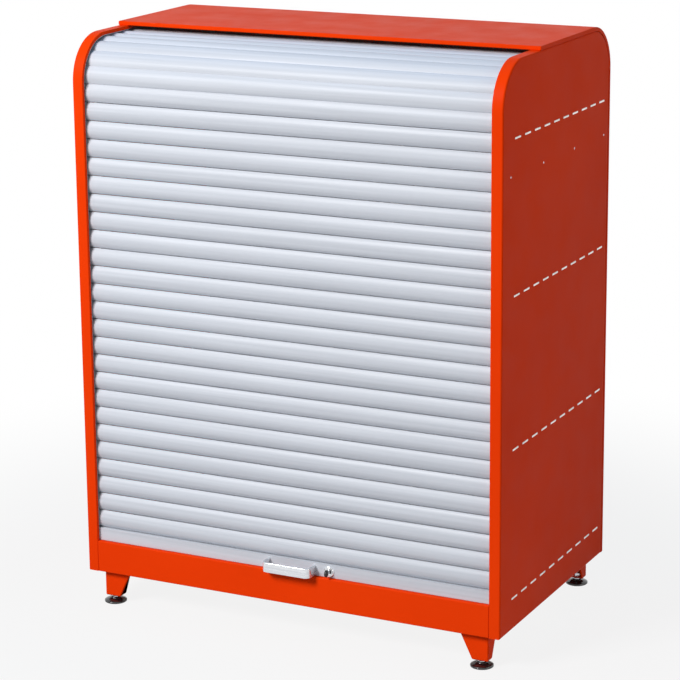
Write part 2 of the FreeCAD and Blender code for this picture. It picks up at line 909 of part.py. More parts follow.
def bored(name, blank, y, radius, length):
    """The blank with a bore on the lock's axis, which runs past both of its ends."""
    bore = rod(
        f"{name}_bore",
        "lock_offset",
        f"{y} - overcut",
        "lock_height",
        radius,
        f"{length} + 2 * overcut",
        "y",
    )
    return cut(name, blank, [bore])


def lock_barrel():
    x = "lock_offset"
    z = "lock_height"
    bezel = rod("bezel", x, LOCK_FACE, z, "bezel_radius", "bezel_height", "y")
    barrel = rod("barrel", x, "shutter_recess", z, "barrel_radius", "barrel_length", "y")
    blank = fuse("lock_blank", [bezel, barrel])
    length = "barrel_length + bezel_height"
    node(bored("lock_shell", blank, LOCK_FACE, "plug_radius + plug_clearance", length), "lock_body")
    nut = hexagon("lock_ring", x, PULL_RAIL_BACK, z, "lock_nut_radius", "lock_nut_height", "y")
    node(bored("lock_ring_nut", nut, PULL_RAIL_BACK, "barrel_radius", "lock_nut_height"), "lock_nut")


def key_space(name, clearance, front):
    """The block that the key's blade fills, or its slot with a clearance all round."""
    half_gauge = f"(key_blade_gauge / 2 + {clearance})"
    half_width = f"(key_blade_width / 2 + {clearance})"
    return box(
        name,
        (f"lock_offset - {half_gauge}", f"lock_offset + {half_gauge}"),
        (front, f"{LOCK_FACE} + key_depth + {clearance}"),
        (f"lock_height - {half_width}", f"lock_height + {half_width}"),
    )


def lock_plug():
    x = "lock_offset"
    z = "lock_height"
    length = "barrel_length + bezel_height - plug_setback"
    core = rod("core", x, f"{LOCK_FACE} + plug_setback", z, "plug_radius", length, "y")
    spindle = rod("spindle", x, CAM_FRONT, z, "spindle_radius", "spindle_length", "y")
    keyway = key_space("keyway", "key_slot_clearance", f"{LOCK_FACE} - overcut")
    node(cut("plug", fuse("plug_blank", [core, spindle]), [keyway]), "lock_plug")


def lock_cam():
    """A hub with a spoke that carries a hook, which is a sector of a ring."""
    x = "lock_offset"
    z = "lock_height"
    rise = number("hook_rise")
    turn = Rotation(Vector(0, 1, 0), -rise)
    hub = rod("cam_hub", x, CAM_FRONT, z, "cam_hub_radius", "cam_gauge", "y")
    sector = rod("hook_sector", x, CAM_FRONT, z, "hook_outer_radius", "cam_gauge", "y")
    sector.Placement.Rotation = turn.multiply(TURNS["y"])
    bind(sector, Angle="hook_angle")
    hook = bored("hook_arc", sector, CAM_FRONT, "hook_outer_radius - hook_width", "cam_gauge")
    spoke = doc.addObject("Part::Box", "cam_spoke")
    spoke.Placement.Rotation = turn
    bind(spoke, Length="hook_outer_radius - hook_width / 2", Width="cam_gauge", Height="spoke_width")
    across = f"{x} + spoke_width * {math.sin(math.radians(rise)):.9f}"
    up = f"{z} - spoke_width * {math.cos(math.radians(rise)):.9f}"
    place(spoke, across, CAM_FRONT, up)
    blank = fuse("cam_blank", [hub, hook, spoke])
    node(bored("cam", blank, CAM_FRONT, "spindle_radius", "cam_gauge"), "lock_cam")


def cam_nut():
    front = f"{CAM_FRONT} + cam_gauge"
    length = "(spindle_length - cam_gauge)"
    cap = hexagon("cam_cap", "lock_offset", front, "lock_height", "cam_nut_radius", length, "y")
    node(bored("cam_cap_nut", cap, front, "spindle_radius", length), "cam_nut")


def key():
    neck = f"{LOCK_FACE} - key_neck"
    node(key_space("blade", "0", neck), "key_blade")
    bow = rod(
        "key_disc",
        "lock_offset - key_bow_gauge / 2",
        f"{neck} - key_bow_radius + key_bow_lap",
        "lock_height",
        "key_bow_radius",
        "key_bow_gauge",
        "x",
    )
    node(cut("key_grip", bow, [key_space("key_socket", "0", neck)]), "key_bow")


# Legs and levelling feet

CORNERS = [("front_left", -1, -1), ("front_right", 1, -1), ("rear_left", -1, 1), ("rear_right", 1, 1)]


def across_from(side, inward):
    """A place on X, measured inwards from a leg's outer side."""
    return f"{side} * ({LEG_OUTSIDE} - ({inward}))"


def along_from(end, inward):
    """A place on Y, measured inwards from a leg's outer end."""
    if end < 0:
        return f"leg_inset_front + ({inward})"
    return f"cabinet_depth - leg_inset_front - ({inward})"


def leg_bolt_points(side, end):
    y = along_from(end, "leg_bolt_inset")
    return [(across_from(side, inward), y) for inward in ("leg_bolt_outer", "leg_bolt_inner")]


def leg_bolt_holes(name, side, end, top):
    """The holes for one leg's bolts, from below its top plate up to a height."""
    low = "(-leg_gauge - overcut)"
    return [
        rod(name, x, y, low, "leg_bolt_radius + bolt_clearance", f"{top} + overcut - {low}")
        for x, y in leg_bolt_points(side, end)
    ]


def rail_bolt_holes(name, rail_end):
    """The holes in a rail's flange for the two legs at its ends."""
    holes = []
    for _, side, end in CORNERS:
        if end == rail_end:
            holes += leg_bolt_holes(name, side, end, "sheet_gauge")
    return holes


def span(low, high):
    """Two places in rising order."""
    return (low, high) if number(low) < number(high) else (high, low)


def leg(corner, side, end):
    """A folded bracket: a face and an outer side that taper, a top plate and a foot plate."""
    wedge = doc.addObject("Part::Wedge", f"{corner}_taper")
    wedge.Placement.Rotation = Rotation(Vector(1, 0, 0), -90)
    top_x = span(across_from(side, "0"), across_from(side, "leg_top_width"))
    foot_x = span(across_from(side, "0"), across_from(side, "leg_foot_width"))
    top_y = span(along_from(end, "0"), along_from(end, "leg_top_depth"))
    foot_y = span(along_from(end, "0"), along_from(end, "leg_foot_depth"))
    bind(wedge, Ymin="0", Ymax="leg_height")
    bind(wedge, Xmin=top_x[0], Xmax=top_x[1], X2min=foot_x[0], X2max=foot_x[1])
    bind(wedge, Zmin=top_y[0], Zmax=top_y[1], Z2min=foot_y[0], Z2max=foot_y[1])
    place(wedge, "0", "0", "0")
    inside = box(
        f"{corner}_inside",
        span(across_from(side, "leg_gauge"), across_from(side, "leg_top_width + overcut")),
        span(along_from(end, "leg_gauge"), along_from(end, "leg_top_depth + overcut")),
        ("leg_gauge - leg_height", "-leg_gauge"),
    )
    stud_hole = rod(
        f"{corner}_stud_hole",
        across_from(side, "leg_foot_width / 2"),
        along_from(end, "leg_foot_depth / 2"),
        "-leg_height - overcut",
        "stud_radius + bolt_clearance",
        "leg_gauge + 2 * overcut",
    )
    bolt_holes = leg_bolt_holes(f"{corner}_plate_hole", side, end, "0")
    node(cut(f"{corner}_bracket", wedge, [inside, stud_hole] + bolt_holes), f"leg_{corner}")


def drilled_nut(name, x, y, z, radius, height, bore):
    blank = hexagon(f"{name}_blank", x, y, z, radius, height)
    hole = rod(f"{name}_bore", x, y, f"{z} - overcut", bore, f"{height} + 2 * overcut")
    return cut(name, blank, [hole])


def leg_fasteners():
    """The nut welded in each leg for its stud, and the bolts and nuts that hold the leg."""
    weld_nuts = []
    bolts = []
    nuts = []
    stud_bore = "stud_radius + thread_clearance"
    head_bottom = "(-leg_gauge - bolt_head_height)"
    length = "leg_gauge + sheet_gauge + bolt_nut_height + bolt_tail"
    for corner, side, end in CORNERS:
        x = across_from(side, "leg_foot_width / 2")
        y = along_from(end, "leg_foot_depth / 2")
        base = "(leg_gauge - leg_height)"
        name = f"{corner}_weld_nut"
        weld_nuts.append(drilled_nut(name, x, y, base, "leg_nut_radius", "leg_nut_height", stud_bore))
        for bolt_x, bolt_y in leg_bolt_points(side, end):
            spot = (bolt_x, bolt_y)
            name = f"{corner}_bolt"
            head = hexagon(f"{name}_head", *spot, head_bottom, "bolt_head_radius", "bolt_head_height")
            shank = rod(f"{name}_shank", *spot, "-leg_gauge", "leg_bolt_radius", length)
            bolts.append(fuse(name, [head, shank]))
            name = f"{corner}_nut"
            sizes = ("bolt_head_radius", "bolt_nut_height", "leg_bolt_radius")
            nuts.append(drilled_nut(name, *spot, "sheet_gauge", *sizes))
    node(group("weld_nuts", weld_nuts), "leg_nuts")
    node(group("bolts", bolts), "leg_bolts")
    node(group("nuts", nuts), "leg_bolt_nuts")


def foot(corner, side, end):
    """A domed pad, turned in one piece, and the stud that screws into the leg."""
    x = across_from(side, "leg_foot_width / 2")
    y = along_from(end, "leg_foot_depth / 2")
    body = doc.addObject("PartDesign::Body", f"{corner}_pad")
    dome = [
        ("0", "0"),
        ("pad_radius", "0"),
        ("pad_radius", "pad_rim"),
        ("pad_boss_radius", "pad_height - pad_chamfer", "pad_dome_radius", 1),
        ("pad_boss_radius - pad_chamfer", "pad_height"),
        ("0", "pad_height"),
    ]
    sketch = outline(body, f"{corner}_dome", "XZ_Plane", dome)
    turned = body.newObject("PartDesign::Revolution", f"{corner}_turned")
    turned.Profile = sketch
    turned.ReferenceAxis = (sketch, ["V_Axis"])
    turned.Angle = 360
    place(body, x, y, "-foot_height")
    node(body, f"foot_pad_{corner}")
    seat = "(pad_height - foot_height)"
    collar = hexagon(f"{corner}_collar", x, y, seat, "stud_collar_radius", "stud_collar_height")
    thread = rod(f"{corner}_thread", x, y, seat, "stud_radius", "stud_length")
    node(fuse(f"{corner}_stud", [collar, thread]), f"foot_stud_{corner}")


# Assembly

for label, side in (("right", 1), ("left", -1)):
    side_panel(f"side_panel_{label}", side)
    stiffener(f"side_stiffener_{label}", side)
    track(f"track_{label}", side)
side_rivets()
end_stops()
top_cover()
cover_brush()
back_panel()
front_rail()
rear_rail()
pan("floor_pan", "rail_height", FLOOR_FRONT, [strike_slot("floor_slot")])
pan("shelf_lower", "lower_shelf_height", "shelf_setback")
pan("shelf_upper", "upper_shelf_height", "shelf_setback")
pan("inner_ceiling", "ceiling_height", "shelf_setback")
lock_strike()
inner_back_wall()
slats()
bottom_rail()
bottom_seal()
guide_shoes()
pull_handle()
handle_screws()
lock_barrel()
lock_plug()
lock_cam()
cam_nut()
key()
for corner, side, end in CORNERS:
    leg(corner, side, end)
    foot(corner, side, end)
leg_fasteners()

doc.recompute()

# Every object must have come out whole before anything is written
for item in doc.Objects:
    if "Invalid" in item.State or "Error" in item.State:
        raise RuntimeError(f"{item.Label} failed: {item.State}")
for item in nodes:
    if item.Shape.isNull() or not item.Shape.isValid():
        raise RuntimeError(f"{item.Label} has no valid shape")

os.makedirs("parts", exist_ok=True)
for item in nodes:
    item.Shape.exportStep(f"parts/{item.Label}.step")
print(f"{len(nodes)} nodes; the tracks end {number(track_length_end()):.1f} mm above the underside")
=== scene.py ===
# %% [markdown]
# # Dressing a roll front tool cabinet
# The cabinet's sheets, slats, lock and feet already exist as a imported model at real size.
# This lesson gives them their looks. Each step first says what the piece or the finish is
# on the real cabinet, then how it is made here. Lengths are in metres, X runs across,
# Y to the back, Z up, and the floor is at zero.

# %% Load the frame
import bmesh
import bpy
import math
import random
from mathutils import Matrix, Vector


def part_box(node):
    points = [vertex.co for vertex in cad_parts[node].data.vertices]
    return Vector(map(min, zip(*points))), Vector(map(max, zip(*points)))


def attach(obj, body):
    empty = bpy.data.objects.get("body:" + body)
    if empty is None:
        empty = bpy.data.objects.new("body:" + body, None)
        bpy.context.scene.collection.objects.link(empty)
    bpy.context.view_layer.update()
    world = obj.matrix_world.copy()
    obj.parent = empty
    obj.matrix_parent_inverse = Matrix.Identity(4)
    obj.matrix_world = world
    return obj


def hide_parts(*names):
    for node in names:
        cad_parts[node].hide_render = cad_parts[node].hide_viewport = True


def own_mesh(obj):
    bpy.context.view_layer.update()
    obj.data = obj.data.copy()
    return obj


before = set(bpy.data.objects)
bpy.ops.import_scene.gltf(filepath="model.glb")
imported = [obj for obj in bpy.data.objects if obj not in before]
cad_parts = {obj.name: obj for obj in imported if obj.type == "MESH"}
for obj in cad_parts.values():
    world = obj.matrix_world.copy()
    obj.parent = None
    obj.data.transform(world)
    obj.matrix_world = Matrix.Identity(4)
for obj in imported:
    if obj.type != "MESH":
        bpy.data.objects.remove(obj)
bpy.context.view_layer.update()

# %% [markdown]
# ## Camera
# The picture to match was taken with a long lens from the front right and slightly above.
# The viewing angles come from solving the perspective of the cabinet's straight edges.
# A long lens keeps upright edges nearly parallel, so the camera stands five and a half
# metres off. The lens is shifted a little too, because the picture's optical axis lies
# above its middle row.

# %% Camera at the photograph's angle
SENSOR_WIDTH = 36.0
PICTURE_WIDTH = 680
FOCAL_PIXELS = 2488.6
AXIS_ROW = 290
CAMERA_PLACE = Vector((2.3767, -4.7546, 2.0124))
LOOK_LEFT = math.radians(26.63)
LOOK_DOWN = math.radians(13.792)
CAMERA_ROLL = math.radians(-0.529)
CLIP_END = 100
CABINET_MIDDLE = Vector((0, 0, 0.6))


def camera_turn(left, down, roll):
    """The camera's rotation from its heading, its tilt and its roll."""
    flat = math.cos(down)
    ahead = Vector((-math.sin(left) * flat, math.cos(left) * flat, -math.sin(down)))
    level = Vector((math.cos(left), math.sin(left), 0))
    above = level.cross(ahead)
    right = math.cos(roll) * level + math.sin(roll) * above
    top = math.cos(roll) * above - math.sin(roll) * level
    return Matrix((right, top, -ahead)).transposed().to_4x4()


lens = bpy.data.cameras.new("photo_camera")
lens.sensor_width = SENSOR_WIDTH
lens.lens = FOCAL_PIXELS / PICTURE_WIDTH * SENSOR_WIDTH
lens.shift_y = (AXIS_ROW - PICTURE_WIDTH / 2) / PICTURE_WIDTH
lens.clip_end = CLIP_END
camera = bpy.data.objects.new("photo_camera", lens)
camera.matrix_world = Matrix.Translation(CAMERA_PLACE) @ camera_turn(LOOK_LEFT, LOOK_DOWN, CAMERA_ROLL)
bpy.context.scene.collection.objects.link(camera)
bpy.context.scene.camera = camera
print("camera", round((CAMERA_PLACE - CABINET_MIDDLE).length, 2), "m from the cabinet")

# %% [markdown]
# ## Light, floor and background
# The front is bright, the right side is in half shade, and what faces up is lit by a cool
# sky. Three soft panels do that: a neutral one high at the front left, a blue one overhead
# and a weak warm one at the right. The world gives the rest. The camera and reflections
# see it white, but it lights the cabinet with much less, so that colours render as they
# are written.

# %% Lamps and world
WHITE = (1, 1, 1, 1)
AMBIENT = 0.11
AMBIENT_COLOUR = (0.93, 0.96, 1, 1)
AIM = Vector((0, 0, 0.65))


def soft_panel(name, place, size, power, colour=(1, 1, 1)):
    """A square area lamp that faces the cabinet."""
    data = bpy.data.lights.new(name, "AREA")
    data.size = size
    data.energy = power
    data.color = colour
    lamp = bpy.data.objects.new(name, data)
    lamp.location = place
    lamp.rotation_euler = (AIM - Vector(place)).to_track_quat("-Z", "Y").to_euler()
    bpy.context.scene.collection.objects.link(lamp)


def seen_rays(nodes, links):
    """1 for the camera's rays and for those of reflection and transmission, else 0."""
    path = nodes.new("ShaderNodeLightPath")
    share = path.outputs["Is Camera Ray"]
    for kind in ("Is Glossy Ray", "Is Transmission Ray"):
        either = nodes.new("ShaderNodeMath")
        either.operation = "MAXIMUM"
        links.new(share, either.inputs[0])
        links.new(path.outputs[kind], either.inputs[1])
        share = either.outputs[0]
    return share


soft_panel("front_panel", place=(-2.4, -5.0, 4.5), size=2.2, power=470)
soft_panel("sky_panel", place=(0.2, 0.8, 4.6), size=2.6, power=34, colour=(0.12, 0.5, 1.0))
soft_panel("side_fill", place=(5.6, -0.9, 2.4), size=2.4, power=72, colour=(1.0, 0.93, 0.86))

world = bpy.data.worlds.new("studio")
world.use_nodes = True
bpy.context.scene.world = world
sky_nodes = world.node_tree.nodes
sky_links = world.node_tree.links
ambient = sky_nodes["Background"]
ambient.inputs["Color"].default_value = AMBIENT_COLOUR
ambient.inputs["Strength"].default_value = AMBIENT
seen = sky_nodes.new("ShaderNodeBackground")
seen.inputs["Color"].default_value = WHITE
choice = sky_nodes.new("ShaderNodeMixShader")
sky_links.new(seen_rays(sky_nodes, sky_links), choice.inputs[0])
sky_links.new(ambient.outputs[0], choice.inputs[1])
sky_links.new(seen.outputs[0], choice.inputs[2])
sky_links.new(choice.outputs[0], sky_nodes["World Output"].inputs["Surface"])
bpy.context.scene.view_settings.view_transform = "Standard"
print("three soft panels, ambient strength", AMBIENT)

# %% [markdown]
# The floor is a wide pale sheet. Away from the cabinet the camera sees it as plain white.
# Near the cabinet a seventh of what it sees is the lit surface, so that the soft shadow
# shows on it.

# %% Floor
FLOOR_HALF = 30.0
FLOOR_TONE = (0.45, 0.45, 0.45, 1)
FLOOR_ROUGHNESS = 0.9
GLOW_NEAR = 0.86
GLOW_START = 0.7
GLOW_FULL = 1.9

floor_mesh = bpy.data.meshes.new("floor")
signs = ((-1, -1), (1, -1), (1, 1), (-1, 1))
corners = [(FLOOR_HALF * across, FLOOR_HALF * along, 0) for across, along in signs]
floor_mesh.from_pydata(corners, [], [(0, 1, 2, 3)])
floor = bpy.data.objects.new("floor", floor_mesh)
bpy.context.scene.collection.objects.link(floor)
floor_finish = bpy.data.materials.new("pale_floor")
floor_finish.use_nodes = True
floor_shader = floor_finish.node_tree.nodes["Principled BSDF"]
floor_shader.inputs["Base Color"].default_value = FLOOR_TONE
floor_shader.inputs["Roughness"].default_value = FLOOR_ROUGHNESS
floor_shader.inputs["Specular IOR Level"].default_value = 0
floor_nodes = floor_finish.node_tree.nodes
floor_links = floor_finish.node_tree.links
floor_place = floor_nodes.new("ShaderNodeTexCoord")
away = floor_nodes.new("ShaderNodeVectorMath")
away.operation = "LENGTH"
fade = floor_nodes.new("ShaderNodeMapRange")
fade.interpolation_type = "SMOOTHSTEP"
fade.inputs["From Min"].default_value = GLOW_START
fade.inputs["From Max"].default_value = GLOW_FULL
fade.inputs["To Min"].default_value = GLOW_NEAR
glow_seen = floor_nodes.new("ShaderNodeMath")
glow_seen.operation = "MULTIPLY"
white_glow = floor_nodes.new("ShaderNodeEmission")
white_glow.inputs["Color"].default_value = WHITE
floor_mix = floor_nodes.new("ShaderNodeMixShader")
floor_links.new(floor_place.outputs["Object"], away.inputs[0])
floor_links.new(away.outputs["Value"], fade.inputs["Value"])
floor_links.new(fade.outputs["Result"], glow_seen.inputs[0])
floor_links.new(seen_rays(floor_nodes, floor_links), glow_seen.inputs[1])
floor_links.new(glow_seen.outputs[0], floor_mix.inputs[0])
floor_links.new(floor_shader.outputs[0], floor_mix.inputs[1])
floor_links.new(white_glow.outputs[0], floor_mix.inputs[2])
floor_links.new(floor_mix.outputs[0], floor_nodes["Material Output"].inputs["Surface"])
floor_mesh.materials.append(floor_finish)
print("floor", 2 * FLOOR_HALF, "m wide")

# %% [markdown]
# ## Finishes
# Every finish is a small graph: a pattern in the piece's own coordinates varies the colour
# and the roughness, and on some a bump. Six short methods build the graphs. Noise that is
# drawn out lengthwise gives rolled or brushed metal, and fine round noise gives sprayed
# powder.

# %% Helpers for the finishes
NOISE_LOW = 0.3
NOISE_HIGH = 0.7


def linear(level):
    """A colour level from 0 to 255 as the renderer's linear value, by the sRGB curve."""
    share = level / 255
    return share / 12.92 if share <= 0.04045 else ((share + 0.055) / 1.055) ** 2.4


def colour(red, green, blue):
    return (linear(red), linear(green), linear(blue), 1)


class Finish:
    """A material whose graph starts from the piece's object coordinates."""

    def __init__(self, name, **constants):
        self.material = bpy.data.materials.new(name)
        self.material.use_nodes = True
        self.nodes = self.material.node_tree.nodes
        self.links = self.material.node_tree.links
        self.shader = self.nodes["Principled BSDF"]
        self.coordinates = self.nodes.new("ShaderNodeTexCoord").outputs["Object"]
        for socket, value in constants.items():
            self.shader.inputs[socket.replace("_", " ")].default_value = value
        print("finish:", name)

    def grain(self, scale, detail=3.0, stretch=(1, 1, 1)):
        """Noise of so many cells to the metre, which a stretch below 1 draws out along an axis."""
        mapping = self.nodes.new("ShaderNodeMapping")
        mapping.inputs["Scale"].default_value = stretch
        noise = self.nodes.new("ShaderNodeTexNoise")
        noise.inputs["Scale"].default_value = scale
        noise.inputs["Detail"].default_value = detail
        self.links.new(self.coordinates, mapping.inputs["Vector"])
        self.links.new(mapping.outputs[0], noise.inputs["Vector"])
        return noise.outputs["Fac"]

    def spangle(self, scale):
        """Flat cells with a random level each, as on hot-dip zinc."""
        cells = self.nodes.new("ShaderNodeTexVoronoi")
        cells.inputs["Scale"].default_value = scale
        split = self.nodes.new("ShaderNodeSeparateColor")
        self.links.new(self.coordinates, cells.inputs["Vector"])
        self.links.new(cells.outputs["Color"], split.inputs[0])
        return split.outputs[0]

    def between(self, share, low, high):
        """The share of a pattern, over the range where noise mostly lies, stretched to two limits."""
        span = self.nodes.new("ShaderNodeMapRange")
        span.inputs["From Min"].default_value = NOISE_LOW
        span.inputs["From Max"].default_value = NOISE_HIGH
        span.inputs["To Min"].default_value = low
        span.inputs["To Max"].default_value = high
        self.links.new(share, span.inputs["Value"])
        return span.outputs["Result"]

    def tint(self, share, dark, light):
        """The base colour between two tones."""
        mix = self.nodes.new("ShaderNodeMix")
        mix.data_type = "RGBA"
        colours = [socket for socket in mix.inputs if socket.type == "RGBA"]
        colours[0].default_value = dark
        colours[1].default_value = light
        self.links.new(self.between(share, 0, 1), mix.inputs["Factor"])
        result = [socket for socket in mix.outputs if socket.type == "RGBA"][0]
        self.links.new(result, self.shader.inputs["Base Color"])

    def roughen(self, share, low, high):
        self.links.new(self.between(share, low, high), self.shader.inputs["Roughness"])

    def emboss(self, share, depth):
        """A bump so many metres deep."""
        bump = self.nodes.new("ShaderNodeBump")
        bump.inputs["Distance"].default_value = depth
        bump.inputs["Strength"].default_value = 1
        self.links.new(share, bump.inputs["Height"])
        self.links.new(bump.outputs[0], self.shader.inputs["Normal"])


print("noise mostly lies from", NOISE_LOW, "to", NOISE_HIGH)

# %% [markdown]
# Powder coat is sprayed dry and baked. It is an even orange with a faint cloudiness, and
# close up its skin is slightly rippled like orange peel. It is kept nearly matt here,
# because the white surroundings would wash out its colour.

# %% Orange powder coat
orange_paint = Finish("orange_powder_coat", Specular_IOR_Level=0.015)
orange_paint.tint(orange_paint.grain(2.5, 4), colour(226, 56, 5), colour(234, 61, 7))
orange_paint.roughen(orange_paint.grain(14, 3), 0.34, 0.44)
orange_paint.emboss(orange_paint.grain(420, 2), 0.00012)

# %% [markdown]
# The slats are rolled from thin aluminium with a silver lacquer. They are drawn through the
# rollers lengthwise, so their faint streaks run along X. Lacquer keeps them from acting as
# mirrors, which is why the graph is a pale satin coat with no metal in it.

# %% Silver lacquer
LACQUER_DARK = colour(191, 195, 203)
LACQUER_LIGHT = colour(202, 206, 214)
slat_silver = Finish("silver_lacquer", Specular_IOR_Level=0.13)
slat_silver.tint(slat_silver.grain(160, 3, (0.012, 1, 1)), LACQUER_DARK, LACQUER_LIGHT)
slat_silver.roughen(slat_silver.grain(60, 2, (0.03, 1, 1)), 0.3, 0.42)
slat_silver.emboss(slat_silver.grain(500, 2, (0.01, 1, 1)), 0.00004)

# %% [markdown]
# The floor, the shelves and the small angles inside are hot-dip galvanised: zinc sets on
# the steel in flat crystals, each with its own grey.

# %% Galvanised sheet
galvanised = Finish("galvanised_sheet", Metallic=1.0)
galvanised.tint(galvanised.spangle(75), colour(220, 212, 206), colour(236, 229, 224))
galvanised.roughen(galvanised.spangle(75), 0.34, 0.4)
galvanised.emboss(galvanised.grain(300, 2), 0.00003)

# %% [markdown]
# Small metal parts each have a finish of their own. The tracks are plain extruded
# aluminium with lengthwise die lines, screws and studs are bright zinc, the shutter's
# bottom rail has a lacquer like the slats, the pull handle is satin silver, and the lock's
# face is polished chrome.

# %% Small metals
DIE_LINES = (1, 0.05, 0.05)

track_aluminium = Finish("extruded_aluminium", Metallic=0.9)
track_lines = track_aluminium.grain(200, 2, DIE_LINES)
track_aluminium.tint(track_lines, colour(150, 153, 157), colour(182, 185, 189))
track_aluminium.roughen(track_aluminium.grain(200, 2, DIE_LINES), 0.34, 0.5)

zinc = Finish("bright_zinc", Metallic=1.0)
zinc.tint(zinc.grain(90, 3), colour(196, 199, 204), colour(226, 228, 231))
zinc.roughen(zinc.grain(240, 2), 0.18, 0.34)

rail_silver = Finish("rail_lacquer", Specular_IOR_Level=0.2)
rail_silver.tint(rail_silver.grain(160, 3, (0.012, 1, 1)), LACQUER_DARK, LACQUER_LIGHT)
rail_silver.roughen(rail_silver.grain(60, 2, (0.03, 1, 1)), 0.3, 0.42)

handle_silver = Finish("satin_handle", Metallic=0.7)
handle_silver.tint(handle_silver.grain(220, 3, (0.05, 1, 1)), colour(214, 217, 222), colour(233, 235, 238))
handle_silver.roughen(handle_silver.grain(220, 3, (0.05, 1, 1)), 0.2, 0.32)
handle_silver.emboss(handle_silver.grain(700, 2, (0.03, 1, 1)), 0.000003)

chrome = Finish("polished_chrome", Metallic=1.0)
chrome.tint(chrome.grain(40, 2), colour(216, 218, 222), colour(230, 231, 234))
chrome.roughen(chrome.grain(300, 2), 0.05, 0.12)

# %% [markdown]
# The feet, the key's grip, the guide shoes, the seal and the brush are dark plastic and
# rubber. They differ in gloss: the pads are moulded glossy, nylon is dull with a fine
# grain, and rubber is duller still.

# %% Plastics and rubber
gloss_black = Finish("gloss_black_plastic", Specular_IOR_Level=0.6, Coat_Weight=0.4, Coat_Roughness=0.06)
gloss_black.tint(gloss_black.grain(60, 2), colour(14, 14, 16), colour(24, 24, 27))
gloss_black.roughen(gloss_black.grain(500, 2), 0.14, 0.24)

nylon = Finish("dark_nylon", Specular_IOR_Level=0.4)
nylon.tint(nylon.grain(90, 3), colour(34, 34, 36), colour(48, 48, 50))
nylon.roughen(nylon.grain(400, 2), 0.45, 0.6)
nylon.emboss(nylon.grain(1500, 2), 0.00003)

rubber = Finish("black_rubber", Specular_IOR_Level=0.3)
rubber.tint(rubber.grain(120, 3), colour(20, 20, 21), colour(33, 33, 34))
rubber.roughen(rubber.grain(300, 2), 0.65, 0.85)
rubber.emboss(rubber.grain(1200, 2), 0.00004)

bristle = Finish("brush_bristle", Specular_IOR_Level=0.25, Sheen_Weight=0.3)
bristle.tint(bristle.grain(500, 2, (1, 1, 0.1)), colour(12, 12, 14), colour(30, 30, 33))
bristle.roughen(bristle.grain(200, 2), 0.6, 0.8)

# %% [markdown]
# ## Making and finishing a piece
# A finished piece is a mesh at the origin whose place is in its points. One helper turns a
# bmesh into such a piece and smooths it, but keeps real edges crisp. Another gives it its
# Another gives it its finish and its body.

# %% Helpers for the pieces
SMOOTH_BELOW = math.radians(38)


def settle(piece, finish, body, slot, *nodes):
    """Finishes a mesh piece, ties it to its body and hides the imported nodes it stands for."""
    piece.data.materials.clear()
    piece.data.materials.append(finish.material)
    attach(piece, body)
    if nodes:
        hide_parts(*nodes)
    print(piece.name, "-", len(piece.data.polygons), "faces, rides on", body)
    return piece


def smooth(mesh):
    mesh.shade_smooth()
    mesh.set_sharp_from_angle(angle=SMOOTH_BELOW)


def piece_from(shape, name):
    """A new object that holds the bmesh's faces."""
    mesh = bpy.data.meshes.new(name)
    shape.to_mesh(mesh)
    shape.free()
    smooth(mesh)
    piece = bpy.data.objects.new(name, mesh)
    bpy.context.scene.collection.objects.link(piece)
    return piece


def applied(piece):
    """The piece with its modifiers turned into plain mesh, and none left on it."""
    evaluated = piece.evaluated_get(bpy.context.evaluated_depsgraph_get())
    mesh = bpy.data.meshes.new_from_object(evaluated)
    piece.modifiers.clear()
    piece.data = mesh
    return piece


def dress(finish, slot, *nodes):
    """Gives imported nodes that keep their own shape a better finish."""
    for name in nodes:
        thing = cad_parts[name]
        thing.data.materials.clear()
        thing.data.materials.append(finish.material)
    print("kept as packed:", ", ".join(nodes))


print("edges sharper than", round(math.degrees(SMOOTH_BELOW)), "degrees stay crisp")

# %% [markdown]
# ## Folded sheets
# On a press brake every fold of a sheet gets a small outside radius, and it is that radius
# which catches the light along the posts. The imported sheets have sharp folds. So each
# outer sheet is copied, its loose triangles are merged into whole faces, the outer folds
# are rounded, and a fine bevel breaks the other sharp edges. Normals weighted by area keep
# the wide faces flat beside the small radii. The same helper breaks the edges of solid
# pieces such as the bottom rail, which have no fold.

# %% Rounded copies of the sheets
CORNERS = ("front_left", "front_right", "rear_left", "rear_right")
SHEET_FOLD = 0.0018
LEG_FOLD = 0.003
EDGE_RADIUS = 0.0003
RAIL_EDGE = 0.0007
SHOE_EDGE = 0.001
WIDE_FACE = 0.008
LIMIT_DISTANCE = 0.0002
MERGE_DISTANCE = 0.00001
FLAT_ANGLE = math.radians(0.4)
FOLD_ANGLE = math.radians(60)
ROUNDING = {"offset_type": "OFFSET", "segments": 4, "profile": 0.5}
EDGE_SEGMENTS = 2
STRONG_FACES = 100


def merged_copy(node):
    """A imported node's triangles, welded and joined into whole flat faces."""
    shape = bmesh.new()
    shape.from_mesh(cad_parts[node].data)
    bmesh.ops.remove_doubles(shape, verts=shape.verts, dist=MERGE_DISTANCE)
    bmesh.ops.dissolve_limit(shape, angle_limit=FLAT_ANGLE, verts=shape.verts, edges=shape.edges)
    return shape


def width_across(face):
    """How far a face reaches on its longest axis."""
    spans = [[point.co[axis] for point in face.verts] for axis in range(3)]
    return max(max(span) - min(span) for span in spans)


def outer_folds(shape, low, high):
    """The outer edges at which two wide faces meet on a limit of the sheet's box."""
    folds = []
    for edge in shape.edges:
        if len(edge.link_faces) != 2 or edge.calc_face_angle(0) < FOLD_ANGLE:
            continue
        narrow = min(width_across(face) for face in edge.link_faces) < WIDE_FACE
        if narrow or edge.calc_face_angle_signed(0) <= 0:
            continue
        middle = (edge.verts[0].co + edge.verts[1].co) / 2
        gaps = [abs(middle[axis] - limit[axis]) for axis in range(3) for limit in (low, high)]
        if min(gaps) < LIMIT_DISTANCE:
            folds.append(edge)
    return folds


